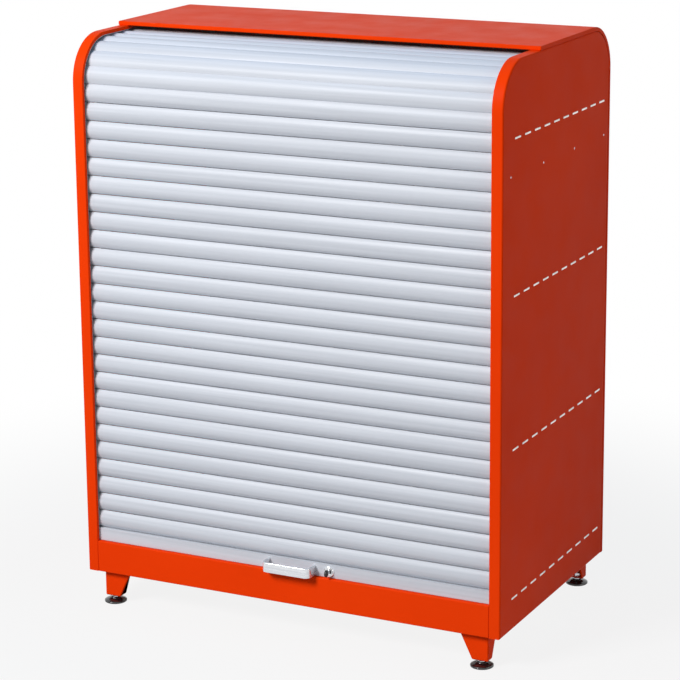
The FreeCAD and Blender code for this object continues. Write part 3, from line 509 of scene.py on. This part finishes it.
def flatten_shading(piece):
    """Weights the normals by area, so that a wide face beside a small radius stays flat."""
    weighted = piece.modifiers.new("flat_faces", "WEIGHTED_NORMAL")
    weighted.keep_sharp = True
    weighted.weight = STRONG_FACES


def keep_inside(piece, low, high):
    """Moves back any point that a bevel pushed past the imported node's box."""
    for point in piece.data.vertices:
        point.co = [min(max(value, low[axis]), high[axis]) for axis, value in enumerate(point.co)]


def folded_sheet(node, finish, slot, body="cabinet", radius=0, edge=EDGE_RADIUS):
    """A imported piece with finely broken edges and, where a radius is given, rounded outer folds."""
    shape = merged_copy(node)
    low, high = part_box(node)
    folds = outer_folds(shape, low, high) if radius else []
    if folds:
        bmesh.ops.bevel(shape, geom=folds, affect="EDGES", clamp_overlap=False, offset=radius, **ROUNDING)
    piece = piece_from(shape, f"{node}_folded")
    edges = piece.modifiers.new("edges", "BEVEL")
    edges.width = edge
    edges.segments = EDGE_SEGMENTS
    edges.limit_method = "ANGLE"
    edges.angle_limit = SMOOTH_BELOW
    applied(piece)
    keep_inside(piece, low, high)
    smooth(piece.data)
    flatten_shading(piece)
    applied(piece)
    return settle(piece, finish, body, slot, node)


for sheet in ("top_cover", "back_panel", "front_rail", "rear_rail"):
    folded_sheet(sheet, orange_paint, "orange_paint", radius=SHEET_FOLD)
for corner in CORNERS:
    folded_sheet(f"leg_{corner}", orange_paint, "orange_paint", radius=LEG_FOLD)
folded_sheet("bottom_rail", rail_silver, "slat_silver", body="shutter", edge=RAIL_EDGE)
folded_sheet("guide_shoes", nylon, "nylon", body="shutter", edge=SHOE_EDGE)

# %% [markdown]
# ## Side panels
# A side panel is a skin with four rows of slots and a row of rivet holes. Its rim is folded
# in all round and ends in a narrow lip, which makes the orange post beside the shutter. The
# rim's section is drawn once and swept round the outline. The skin is then filled between
# the outline and the holes.

# %% The side panel's outline and rim
SHEET = 0.0015
LIP = 0.0075
LIP_FOLD = 0.0018
SKIN_FOLD = 0.004
POST_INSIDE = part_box("front_rail")[1].x
PANEL_LOW, PANEL_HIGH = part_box("side_panel_right")
FRONT_ROUND = 0.100
REAR_ROUND = 0.091
ROUND_STEPS = 20
FOLD_STEPS = 5


def quarter(centre, radius, start, steps):
    """Points on a quarter circle, counter-clockwise from an angle in degrees."""
    angles = [math.radians(start + 90 * step / steps) for step in range(steps + 1)]
    return [(centre[0] + radius * math.cos(turn), centre[1] + radius * math.sin(turn)) for turn in angles]


def side_loop(inset):
    """The panel's outline as (y, z), drawn in by a distance."""
    front, rear = PANEL_LOW.y, PANEL_HIGH.y
    low, high = PANEL_LOW.z, PANEL_HIGH.z
    loop = [(front + inset, low + inset), (rear - inset, low + inset)]
    loop += quarter((rear - REAR_ROUND, high - REAR_ROUND), REAR_ROUND - inset, 0, ROUND_STEPS)
    loop += quarter((front + FRONT_ROUND, high - FRONT_ROUND), FRONT_ROUND - inset, 90, ROUND_STEPS)
    return loop


def rim_section():
    """The rim's section as (inset, distance from the cabinet's middle), from the skin to the skin."""
    near_skin = (SKIN_FOLD, PANEL_HIGH.x - SKIN_FOLD)
    near_lip = (LIP_FOLD, POST_INSIDE + LIP_FOLD)
    section = quarter(near_skin, SKIN_FOLD, 90, FOLD_STEPS)
    section += quarter(near_lip, LIP_FOLD, 180, FOLD_STEPS)
    section += [(LIP - EDGE_RADIUS, POST_INSIDE), (LIP, POST_INSIDE + EDGE_RADIUS)]
    section.append((LIP, POST_INSIDE + SHEET))
    section += reversed(quarter(near_lip, LIP_FOLD - SHEET, 180, FOLD_STEPS))
    section += reversed(quarter(near_skin, SKIN_FOLD - SHEET, 90, FOLD_STEPS))
    return section


print("outline with", len(side_loop(0)), "points, rim section with", len(rim_section()))

# %% [markdown]
# The slots are half a millimetre larger than the tabs in them, and a little more above, so
# that a dark line stays about each bright tab.

# %% The side panel's skin and holes
PANS = ("floor_pan", "shelf_lower", "shelf_upper", "inner_ceiling")
SLOT_LEVELS = [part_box(node)[1].z for node in PANS]
SLOT_FIRST = -0.2112
SLOT_PITCH = 0.0524
SLOT_COUNT = 10
SLOT_LENGTH = 0.031
SLOT_ABOVE = 0.0005
SLOT_BELOW = 0.0045
RIVET_LEVEL = 1.044
RIVET_FIRST = -0.2457
RIVET_PITCH = 0.174
RIVET_COUNT = 4
RIVET_PLACES = [RIVET_FIRST + RIVET_PITCH * index for index in range(RIVET_COUNT)]
RIVET_RADIUS = 0.003
HOLE_STEPS = 20


def panel_holes():
    """The slots and rivet holes, each as a loop of (y, z)."""
    holes = []
    for level in SLOT_LEVELS:
        for index in range(SLOT_COUNT):
            middle = SLOT_FIRST + SLOT_PITCH * index
            front, rear = middle - SLOT_LENGTH / 2, middle + SLOT_LENGTH / 2
            low, high = level - SLOT_BELOW, level + SLOT_ABOVE
            holes.append([(front, low), (rear, low), (rear, high), (front, high)])
    turns = [2 * math.pi * step / HOLE_STEPS for step in range(HOLE_STEPS)]
    rim = [(RIVET_RADIUS * math.cos(turn), RIVET_RADIUS * math.sin(turn)) for turn in turns]
    for middle in RIVET_PLACES:
        holes.append([(middle + along, RIVET_LEVEL + up) for along, up in rim])
    return holes


def loop_points(shape, across, loop):
    return [shape.verts.new((across, y, z)) for y, z in loop]


def band_between(shape, first, second):
    """Faces between two loops of the same length."""
    for index in range(len(first)):
        shape.faces.new((first[index - 1], first[index], second[index], second[index - 1]))


def loop_edges(shape, points):
    edges = []
    for index in range(len(points)):
        pair = (points[index - 1], points[index])
        edges.append(shape.edges.get(pair) or shape.edges.new(pair))
    return edges


def side_panel(node, side):
    """The panel at the right (side 1) or at the left (side -1)."""
    shape = bmesh.new()
    loops = [loop_points(shape, side * across, side_loop(inset)) for inset, across in rim_section()]
    for first, second in zip(loops, loops[1:]):
        band_between(shape, first, second)
    outer_edges = loop_edges(shape, loops[0])
    inner_edges = loop_edges(shape, loops[-1])
    for hole in panel_holes():
        outside = loop_points(shape, side * PANEL_HIGH.x, hole)
        inside = loop_points(shape, side * (PANEL_HIGH.x - SHEET), hole)
        band_between(shape, outside, inside)
        outer_edges += loop_edges(shape, outside)
        inner_edges += loop_edges(shape, inside)
    for edges in (outer_edges, inner_edges):
        filling = {"use_beauty": True, "use_dissolve": False, "normal": (side, 0, 0)}
        bmesh.ops.triangle_fill(shape, edges=edges, **filling)
    bmesh.ops.recalc_face_normals(shape, faces=shape.faces)
    piece = piece_from(shape, f"{node}_folded")
    flatten_shading(piece)
    applied(piece)
    return settle(piece, orange_paint, "cabinet", "orange_paint", node)


side_panel("side_panel_right", 1)
side_panel("side_panel_left", -1)

# %% [markdown]
# ## Copies set along a line or on a pattern
# Slats, rivets, bolts, nuts and screws repeat. One Geometry Nodes tree serves them all: it
# sets a copy of a model piece on every point of a mesh, turns it by the angles that the
# point carries, makes the copies real and gives them their finish.

# %% The tree that sets copies
def set_input(modifier, name, value):
    """Sets a tree's input by the identifier of its socket."""
    for item in modifier.node_group.interface.items_tree:
        if item.item_type == "SOCKET" and item.in_out == "INPUT" and item.name == name:
            modifier[item.identifier] = value


def new_tree(name, **inputs):
    """A tree with a geometry input and output, a finish, and the named inputs given."""
    tree = bpy.data.node_groups.new(name, "GeometryNodeTree")
    tree.is_modifier = True
    tree.interface.new_socket("Geometry", in_out="INPUT", socket_type="NodeSocketGeometry")
    for label, kind in inputs.items():
        tree.interface.new_socket(label, in_out="INPUT", socket_type=f"NodeSocket{kind}")
    tree.interface.new_socket("Finish", in_out="INPUT", socket_type="NodeSocketMaterial")
    tree.interface.new_socket("Geometry", in_out="OUTPUT", socket_type="NodeSocketGeometry")
    return tree, tree.nodes.new("NodeGroupInput"), tree.nodes.new("NodeGroupOutput")


def finish_tree(tree, source, target, geometry):
    """Ends a tree: real geometry with its finish."""
    real = tree.nodes.new("GeometryNodeRealizeInstances")
    paint = tree.nodes.new("GeometryNodeSetMaterial")
    tree.links.new(geometry, real.inputs[0])
    tree.links.new(real.outputs[0], paint.inputs["Geometry"])
    tree.links.new(source.outputs["Finish"], paint.inputs["Material"])
    tree.links.new(paint.outputs[0], target.inputs["Geometry"])


def copies_tree():
    tree, source, target = new_tree("copies_on_points", Model="Object")
    model = tree.nodes.new("GeometryNodeObjectInfo")
    turn = tree.nodes.new("GeometryNodeInputNamedAttribute")
    turn.data_type = "FLOAT_VECTOR"
    turn.inputs["Name"].default_value = "turn"
    angles = tree.nodes.new("FunctionNodeEulerToRotation")
    copies = tree.nodes.new("GeometryNodeInstanceOnPoints")
    tree.links.new(source.outputs["Geometry"], copies.inputs["Points"])
    tree.links.new(source.outputs["Model"], model.inputs["Object"])
    tree.links.new(model.outputs["Geometry"], copies.inputs["Instance"])
    tree.links.new(turn.outputs["Attribute"], angles.inputs[0])
    tree.links.new(angles.outputs[0], copies.inputs["Rotation"])
    finish_tree(tree, source, target, copies.outputs[0])
    return tree


COPIES = copies_tree()


def copies(name, model, places, finish, body, slot, *nodes):
    """Copies of a model piece, one for each place and its turn, as one plain mesh."""
    mesh = bpy.data.meshes.new(name)
    mesh.from_pydata([place for place, _ in places], [], [])
    turns = mesh.attributes.new("turn", "FLOAT_VECTOR", "POINT")
    for index, (_, turn) in enumerate(places):
        turns.data[index].vector = turn
    piece = bpy.data.objects.new(name, mesh)
    bpy.context.scene.collection.objects.link(piece)
    setter = piece.modifiers.new("copies", "NODES")
    setter.node_group = COPIES
    set_input(setter, "Model", model)
    set_input(setter, "Finish", finish.material)
    applied(piece)
    smooth(piece.data)
    bpy.data.objects.remove(model)
    return settle(piece, finish, body, slot, *nodes)


print("tree inputs:", [item.name for item in COPIES.interface.items_tree])

# %% [markdown]
# ## Slats
# A slat is a rolled channel: a strongly crowned face that rolls in at both edges, and a
# flange at the back that the next slat hooks over. The dark line at each joint is the
# groove between two crowns. The section is drawn once, as a face, and drawn out to
# the slat's length. The joints lie on a path up the front and round the bend.

# %% The slat's section
SLAT_PITCH = 0.040
CROWN = 0.0062
FACE_LOW = 0.0021
FACE_HIGH = 0.0384
SLAT_DEPTH = 0.008
SLAT_WALL = 0.0012
HINGE_DEPTH = 0.0025
FACE_STEPS = 18
LOWER_FLANGE = [(0.0014, 0.0069), (0.0008, 0.0075), (0.0008, SLAT_DEPTH)]
LOWER_FLANGE += [(0.0036, SLAT_DEPTH), (0.0038, 0.0074)]
UPPER_FLANGE = [(0.0368, 0.0074), (0.0370, SLAT_DEPTH)]
UPPER_FLANGE += [(0.0394, SLAT_DEPTH), (0.0397, 0.0075), (0.0390, 0.0069)]


def face_depth(height):
    """How far the crowned face lies behind its foremost line."""
    half = (FACE_HIGH - FACE_LOW) / 2
    radius = (half * half + CROWN * CROWN) / (2 * CROWN)
    off = height - (FACE_HIGH + FACE_LOW) / 2
    return radius - math.sqrt(radius * radius - off * off)


def slat_outline():
    """The section's corners as (height, depth), face first, then round the back."""
    steps = range(FACE_STEPS + 1)
    heights = [FACE_HIGH + (FACE_LOW - FACE_HIGH) * step / FACE_STEPS for step in steps]
    face = [(height, face_depth(height)) for height in heights]
    inside = [(height, face_depth(height) + SLAT_WALL) for height in reversed(heights[2:-2])]
    return face + LOWER_FLANGE + inside + UPPER_FLANGE


def slat_model(length):
    """A slat whose joint line lies on the X axis through the origin."""
    shape = bmesh.new()
    corners = [(-length / 2, depth - HINGE_DEPTH, height) for height, depth in slat_outline()]
    section = shape.faces.new([shape.verts.new(corner) for corner in corners])
    section.normal_update()
    if section.normal.x > 0:
        section.normal_flip()
    drawn = bmesh.ops.extrude_face_region(shape, geom=[section], use_keep_orig=True)
    moved = [item for item in drawn["geom"] if isinstance(item, bmesh.types.BMVert)]
    bmesh.ops.translate(shape, verts=moved, vec=(length, 0, 0))
    bmesh.ops.recalc_face_normals(shape, faces=shape.faces)
    return piece_from(shape, "slat_model")


print("section with", len(slat_outline()), "corners")

# %% [markdown]
# The joints' path runs straight up, then round a quarter circle, then back under the cover.
# Each next joint lies one pitch away in a straight line, because a slat doesn't bend.

# %% The slats' places
POST_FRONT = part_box("front_rail")[0].y
JOINT_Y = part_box("front_slats")[0].y + HINGE_DEPTH
JOINT_GAP = 0.0004
FIRST_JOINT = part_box("bottom_rail")[1].z + JOINT_GAP
BEND_START = PANEL_HIGH.z - FRONT_ROUND
BEND_BACK = POST_FRONT + FRONT_ROUND
BEND_RADIUS = BEND_BACK - JOINT_Y
SLAT_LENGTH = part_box("front_slats")[1].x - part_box("front_slats")[0].x
FRONT_COUNT = 25
ROOF_COUNT = 7
HALVINGS = 40


def joint_at(run):
    """The point (y, z) of the joints' path at a distance along it."""
    straight = BEND_START - FIRST_JOINT
    if run <= straight:
        return JOINT_Y, FIRST_JOINT + run
    turn = (run - straight) / BEND_RADIUS
    if turn <= math.pi / 2:
        return BEND_BACK - BEND_RADIUS * math.cos(turn), BEND_START + BEND_RADIUS * math.sin(turn)
    return BEND_BACK + run - straight - BEND_RADIUS * math.pi / 2, BEND_START + BEND_RADIUS


def joint_runs(count):
    """Distances along the path, one straight pitch apart, found by halving an interval."""
    runs = [0.0]
    for _ in range(count):
        low, high = runs[-1], runs[-1] + 2 * SLAT_PITCH
        for _ in range(HALVINGS):
            middle = (low + high) / 2
            near = math.dist(joint_at(runs[-1]), joint_at(middle)) < SLAT_PITCH
            low, high = (middle, high) if near else (low, middle)
        runs.append(low)
    return runs


def slat_places():
    """Each slat's lower joint and its lean."""
    points = [joint_at(run) for run in joint_runs(FRONT_COUNT + ROOF_COUNT)]
    places = []
    for (y, z), (next_y, next_z) in zip(points, points[1:]):
        lean = -math.atan2(next_y - y, next_z - z)
        places.append(((0, y, z), (lean, 0, 0)))
    return places


SLATS = slat_places()
front = (slat_silver, "cabinet", "slat_silver", "front_slats")
curtain = copies("slat_curtain", slat_model(SLAT_LENGTH), SLATS[:FRONT_COUNT], *front)
roof_nodes = [f"roof_slat_{index}" for index in range(1, ROOF_COUNT + 1)]
roof = (slat_silver, "cabinet", "slat_silver", *roof_nodes)
copies("roof_slats", slat_model(SLAT_LENGTH), SLATS[FRONT_COUNT:], *roof)
print("front slats from", round(SLATS[0][0][2], 4), "to", round(SLATS[FRONT_COUNT][0][2], 4))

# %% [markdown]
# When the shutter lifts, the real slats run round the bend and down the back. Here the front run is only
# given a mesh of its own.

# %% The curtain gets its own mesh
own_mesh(curtain)

# %% [markdown]
# ## Turned parts
# Pads, studs, rivets and the lock's barrel are turned on a lathe. A turned part is a
# profile of radii and heights, taken round the Z axis. With six steps the same helper makes
# a hexagon for nuts and bolt heads.

# %% Lathe helpers
ROUND = 48
FINE_ROUND = 64
STUD_ROUND = 32
SMALL_ROUND = 28
SHANK_ROUND = 24
HEXAGON = 6
# One turn of a thread from root to root, as shares of its depth and of its pitch.
THREAD_TURN = ((1, 0.1), (0, 0.45), (0, 0.55), (1, 0.9))


def turned(shape, profile, steps=ROUND, closed=False):
    """Adds the surface that a profile of (radius, height) sweeps round Z."""
    turns = [2 * math.pi * (step + 0.5) / steps for step in range(steps)]
    rings = []
    for radius, height in profile:
        if radius == 0:
            rings.append([shape.verts.new((0, 0, height))] * steps)
        else:
            ring = [(radius * math.cos(turn), radius * math.sin(turn), height) for turn in turns]
            rings.append([shape.verts.new(point) for point in ring])
    pairs = list(zip(rings, rings[1:]))
    if closed:
        pairs.append((rings[-1], rings[0]))
    for first, second in pairs:
        for index in range(steps):
            corners = [first[index - 1], first[index], second[index], second[index - 1]]
            shape.faces.new(list(dict.fromkeys(corners)))
    return shape


def thread(radius, depth, low, high, pitch):
    """A profile of crests and roots between two heights."""
    count = max(1, round((high - low) / pitch))
    step = (high - low) / count
    profile = []
    for index in range(count):
        base = low + index * step
        profile += [(radius - depth * sunk, base + step * share) for sunk, share in THREAD_TURN]
    return profile


def finished(shape, name, turn=None, move=(0, 0, 0)):
    """Closes a bmesh: outward normals, then a turn and a move into place."""
    bmesh.ops.recalc_face_normals(shape, faces=shape.faces)
    if turn:
        bmesh.ops.transform(shape, matrix=turn, verts=shape.verts)
    bmesh.ops.translate(shape, verts=shape.verts, vec=move)
    return piece_from(shape, name)


TO_BACK = Matrix.Rotation(math.radians(-90), 4, "X")
STILL = (0, 0, 0)
print("lathe with", ROUND, "steps")

# %% [markdown]
# A levelling foot is a glossy black pad with a domed top and a boss, and a threaded stud
# with a hexagon at its lower end for the spanner.

# %% Levelling feet
PAD_RIM = [(0, 0.0008), (0.019, 0.0008), (0.020, 0), (0.0242, 0), (0.025, 0.0008), (0.025, 0.0034)]
PAD_DOME = [(0.0246, 0.0041), (0.0225, 0.0053), (0.0200, 0.0066), (0.0170, 0.0078), (0.0140, 0.0087)]
PAD_BOSS = [(0.0116, 0.0092), (0.0110, 0.0094), (0.0106, 0.0101), (0.0098, 0.0107)]
PAD_BOSS += [(0.0090, 0.011), (0, 0.011)]
SPANNER_HEAD = [(0, 0), (0.0078, 0), (0.0085, 0.0005), (0.0085, 0.002), (0.0078, 0.0025), (0, 0.0025)]
STUD_FOOT = [(0, 0.0026), (0.0048, 0.0026)]
STUD_RADIUS = 0.005
STUD_THREAD_LOW = 0.003
STUD_THREAD_DEPTH = 0.0006
STUD_THREAD_PITCH = 0.0015
STUD_TIP = 0.001
STUD_TIP_RADIUS = 0.0040


def foot_pad(corner):
    low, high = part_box(f"foot_pad_{corner}")
    middle = (low + high) / 2
    shape = turned(bmesh.new(), PAD_RIM + PAD_DOME + PAD_BOSS, FINE_ROUND)
    piece = finished(shape, f"foot_pad_{corner}_moulded", None, (middle.x, middle.y, low.z))
    settle(piece, gloss_black, f"foot_{corner}", "black_plastic", f"foot_pad_{corner}")
    return middle


def foot_stud(corner, middle):
    low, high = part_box(f"foot_stud_{corner}")
    length = high.z - low.z
    span = (STUD_THREAD_LOW, length - STUD_TIP)
    cut = thread(STUD_RADIUS, STUD_THREAD_DEPTH, *span, STUD_THREAD_PITCH)
    shape = turned(bmesh.new(), SPANNER_HEAD, HEXAGON)
    turned(shape, STUD_FOOT + cut + [(STUD_TIP_RADIUS, length), (0, length)], STUD_ROUND)
    piece = finished(shape, f"foot_stud_{corner}_threaded", None, (middle.x, middle.y, low.z))
    settle(piece, zinc, f"foot_{corner}", "zinc", f"foot_stud_{corner}")


for corner in CORNERS:
    foot_stud(corner, foot_pad(corner))

# %% [markdown]
# Bolts with chamfered heads hold the legs to the rails. The rivets are set almost flush,
# with a shallow dome and a fine groove round it.

# %% Bolts, nuts, rivets and screws
LEG_BOLT_PLACES = [(x, y) for y in (-0.235, 0.259) for x in (-0.450, -0.415, 0.415, 0.450)]
LEG_BOLT_BASE = 0.0672
LEG_BOLT_NUT_BASE = 0.0765
STUD_PLACES = [(x, y) for y in (-0.261, 0.285) for x in (-0.4485, 0.4485)]
LEG_NUT_BASE = 0.0175
RIVET_FACE = 0.5
HANDLE_SCREW_PLACES = [(x, -0.2695, 0.159) for x in (-0.045, 0.065)]
NUT_CHAMFER = 0.1
CHAMFER_SLOPE = 0.6
BOLT_HEAD = [(0, 0), (0.0068, 0), (0.0075, 0.0006), (0.0075, 0.0053), (0, 0.0053)]
BOLT_NECK = [(0, 0.0053), (0.004, 0.0053), (0.004, 0.0062)]
BOLT_TIP = [(0.0034, 0.0176), (0, 0.0176)]
RIVET_SHANK = [(0, -0.005), (0.0027, -0.005), (0.003, -0.0047), (0.003, -0.0009)]
RIVET_GROOVE = [(0.0029, -0.0007), (0.0027, -0.0009), (0.0025, -0.0006)]
RIVET_DOME = [(0.0019, -0.0003), (0.0011, -0.0001), (0, 0)]
SCREW_DIMPLE = [(0, 0.0009), (0.0011, 0.0009), (0.0013, 0.0022)]
SCREW_HEAD = [(0.0026, 0.0021), (0.0034, 0.0014), (0.0036, 0.0007), (0.0036, 0)]
SCREW_NECK = [(0.002, 0), (0.002, -0.0092)]
SCREW_TIP = [(0, -0.02)]


def nut_model(radius, height, bore):
    """A nut with chamfered corners and an open bore, from its base up."""
    chamfer = radius * NUT_CHAMFER
    rise = chamfer * CHAMFER_SLOPE
    profile = [(bore, 0), (radius - chamfer, 0), (radius, rise), (radius, height - rise)]
    profile += [(radius - chamfer, height), (bore, height)]
    shape = turned(bmesh.new(), profile, HEXAGON, closed=True)
    return finished(shape, "nut_model")


def bolt_model():
    """A hexagon head at the base and a threaded shank above it."""
    shape = turned(bmesh.new(), BOLT_HEAD, HEXAGON)
    cut = thread(radius=0.004, depth=0.0005, low=0.0066, high=0.0170, pitch=0.00125)
    turned(shape, BOLT_NECK + cut + BOLT_TIP, SHANK_ROUND)
    return finished(shape, "bolt_model")


def rivet_model():
    """Its head's face lies at the origin and looks along X; the shank runs back."""
    shape = turned(bmesh.new(), RIVET_SHANK + RIVET_GROOVE + RIVET_DOME, SMALL_ROUND)
    return finished(shape, "rivet_model", Matrix.Rotation(math.radians(90), 4, "Y"))


def screw_model():
    """A pan head at the back, with a dimple in its middle, and a threaded shank to the front."""
    cut = thread(radius=0.002, depth=0.0003, low=0.0093, high=0.0195, pitch=0.0008)
    shank = SCREW_NECK + [(radius, -height) for radius, height in cut]
    shape = turned(bmesh.new(), SCREW_DIMPLE + SCREW_HEAD + shank + SCREW_TIP, SMALL_ROUND)
    return finished(shape, "screw_model", TO_BACK)


bolt_places = [((x, y, LEG_BOLT_BASE), STILL) for x, y in LEG_BOLT_PLACES]
copies("leg_bolts_threaded", bolt_model(), bolt_places, zinc, "cabinet", "zinc", "leg_bolts")
bolt_nut_places = [((x, y, LEG_BOLT_NUT_BASE), STILL) for x, y in LEG_BOLT_PLACES]
bolt_nut = nut_model(radius=0.0075, height=0.0063, bore=0.004)
copies("leg_bolt_nuts_chamfered", bolt_nut, bolt_nut_places, zinc, "cabinet", "zinc", "leg_bolt_nuts")
leg_nut_places = [((x, y, LEG_NUT_BASE), STILL) for x, y in STUD_PLACES]
leg_nut = nut_model(radius=0.0098, height=0.008, bore=0.00505)
copies("leg_nuts_chamfered", leg_nut, leg_nut_places, zinc, "cabinet", "zinc", "leg_nuts")
rivet_places = [((RIVET_FACE, y, RIVET_LEVEL), STILL) for y in RIVET_PLACES]
rivet_places += [((-RIVET_FACE, y, RIVET_LEVEL), (0, 0, math.pi)) for y in RIVET_PLACES]
copies("side_rivets_set", rivet_model(), rivet_places, zinc, "cabinet", "zinc", "side_rivets")
screw_places = [(place, STILL) for place in HANDLE_SCREW_PLACES]
copies("handle_screws_cut", screw_model(), screw_places, zinc, "shutter", "zinc", "handle_screws")

# %% [markdown]
# ## Handle and lock
# The pull handle is a flat bar bent into a bow, with softened edges. The lock has a rounded
# chrome bezel with a fine groove, and its barrel is threaded for the nut behind the rail.

# %% Handle, lock barrel and key
HANDLE_EDGE = 0.0004
KEY_EDGE = 0.0006
BEZEL_GROOVE = [(0.00705, 0), (0.0078, 0), (0.0084, 0.0004), (0.0092, 0.0001)]
BEZEL_RIM = [(0.0104, 0.0001), (0.0114, 0.0006), (0.012, 0.0015), (0.012, 0.003)]
BARREL_NECK = [(0.009, 0.003), (0.009, 0.0118)]
BARREL_END = [(0.0086, 0.0197), (0.00705, 0.0197)]

folded_sheet("pull_handle", handle_silver, "handle_silver", body="shutter", edge=HANDLE_EDGE)

lock_low, lock_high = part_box("lock_body")
lock_middle = (lock_low + lock_high) / 2
barrel_thread = thread(radius=0.009, depth=0.0006, low=0.012, high=0.0192, pitch=0.0012)
barrel_profile = BEZEL_GROOVE + BEZEL_RIM + BARREL_NECK + barrel_thread + BARREL_END
barrel = turned(bmesh.new(), barrel_profile, FINE_ROUND, closed=True)
place = (lock_middle.x, lock_low.y, lock_middle.z)
settle(finished(barrel, "lock_body_turned", TO_BACK, place), chrome, "shutter", "lock_chrome", "lock_body")
folded_sheet("key_bow", nylon, "black_plastic", body="lock", edge=KEY_EDGE)

# %% [markdown]
# ## Brush
# A brush strip hangs behind the cover's front edge and wipes the slats: a narrow holder with
# two staggered rows of tufts. Each tuft is a small bundle of pointed bristles, turned a
# little by chance from a fixed seed.

# %% Brush with tufts
TUFT_PITCH = 0.0032
TUFT_SHIFT = 0.0006
END_GAP = 0.002
BRUSH_SEED = 7
LEAN_BACK = 0.02
LEAN_ALONG = 0.04
TWIST = 0.8
HOLDER_HEIGHT = 0.005
HOLDER_CHAMFER = 0.0008
ROOT_DEPTH = 0.0005
TIP_REACH = 0.001
BRISTLES = ((0, 0), (-0.0006, 0.0003), (0.0006, -0.0003), (-0.0004, -0.0005), (0.0004, 0.0005))
BRISTLE_ROOT = ((-0.0002, 0), (0.0001, -0.0002), (0.0001, 0.0002))
ROOT_SPREAD = 0.5
TIP_SPREAD_ALONG = 1.4
TIP_SPREAD_BACK = 1.2

brush_low, brush_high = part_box("cover_brush")
tuft_length = brush_high.z - HOLDER_HEIGHT - brush_low.z + TIP_REACH


def tuft_model():
    """Five bristles that spread a little towards their tips."""
    shape = bmesh.new()
    for along, back in BRISTLES:
        top = [(along * ROOT_SPREAD + dx, back * ROOT_SPREAD + dy, 0) for dx, dy in BRISTLE_ROOT]
        tip = shape.verts.new((along * TIP_SPREAD_ALONG, back * TIP_SPREAD_BACK, -tuft_length))
        base = [shape.verts.new(point) for point in top]
        shape.faces.new(base)
        for index in range(3):
            shape.faces.new((base[index - 1], base[index], tip))
    return finished(shape, "tuft_model")


chance = random.Random(BRUSH_SEED)
tuft_places = []
count = int((brush_high.x - brush_low.x - 2 * END_GAP) / TUFT_PITCH)
for index in range(count):
    across = brush_low.x + END_GAP + TUFT_PITCH * (index + 0.5)
    deep = (brush_low.y + brush_high.y) / 2 + (TUFT_SHIFT if index % 2 else -TUFT_SHIFT)
    back = chance.uniform(-LEAN_BACK, LEAN_BACK)
    along = chance.uniform(-LEAN_ALONG, LEAN_ALONG)
    turn = (back, along, chance.uniform(0, TWIST))
    tuft_places.append(((across, deep, brush_high.z - HOLDER_HEIGHT + ROOT_DEPTH), turn))
copies("brush_tufts", tuft_model(), tuft_places, bristle, "cabinet", "black_plastic", "cover_brush")

holder = bmesh.new()
left, right = brush_low.x, brush_high.x
front, rear = brush_low.y, brush_high.y
top, foot = brush_high.z, brush_high.z - HOLDER_HEIGHT
lips = [(front, top), (front, foot + HOLDER_CHAMFER), (front + HOLDER_CHAMFER, foot)]
lips += [(rear - HOLDER_CHAMFER, foot), (rear, foot + HOLDER_CHAMFER), (rear, top)]
ends = [[holder.verts.new((x, y, z)) for y, z in lips] for x in (left, right)]
for end in ends:
    holder.faces.new(end)
band_between(holder, *ends)
settle(finished(holder, "brush_holder"), nylon, "cabinet", "black_plastic")

# %% [markdown]
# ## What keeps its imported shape
# The rest lies inside or behind, apart from the plug in the lock's face: pans, tracks,
# stiffeners, the lock's inner pieces, seal and stops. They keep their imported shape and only
# get their finish.

# %% Finishes for the kept pieces
dress(galvanised, "galvanised", *PANS, "inner_back_wall")
dress(galvanised, "galvanised", "side_stiffener_left", "side_stiffener_right", "lock_strike")
dress(track_aluminium, "track_aluminium", "track_left", "track_right")
dress(rubber, "black_rubber", "end_stops", "bottom_seal")
dress(zinc, "zinc", "lock_nut", "lock_cam", "cam_nut", "key_blade")
dress(chrome, "lock_chrome", "lock_plug")
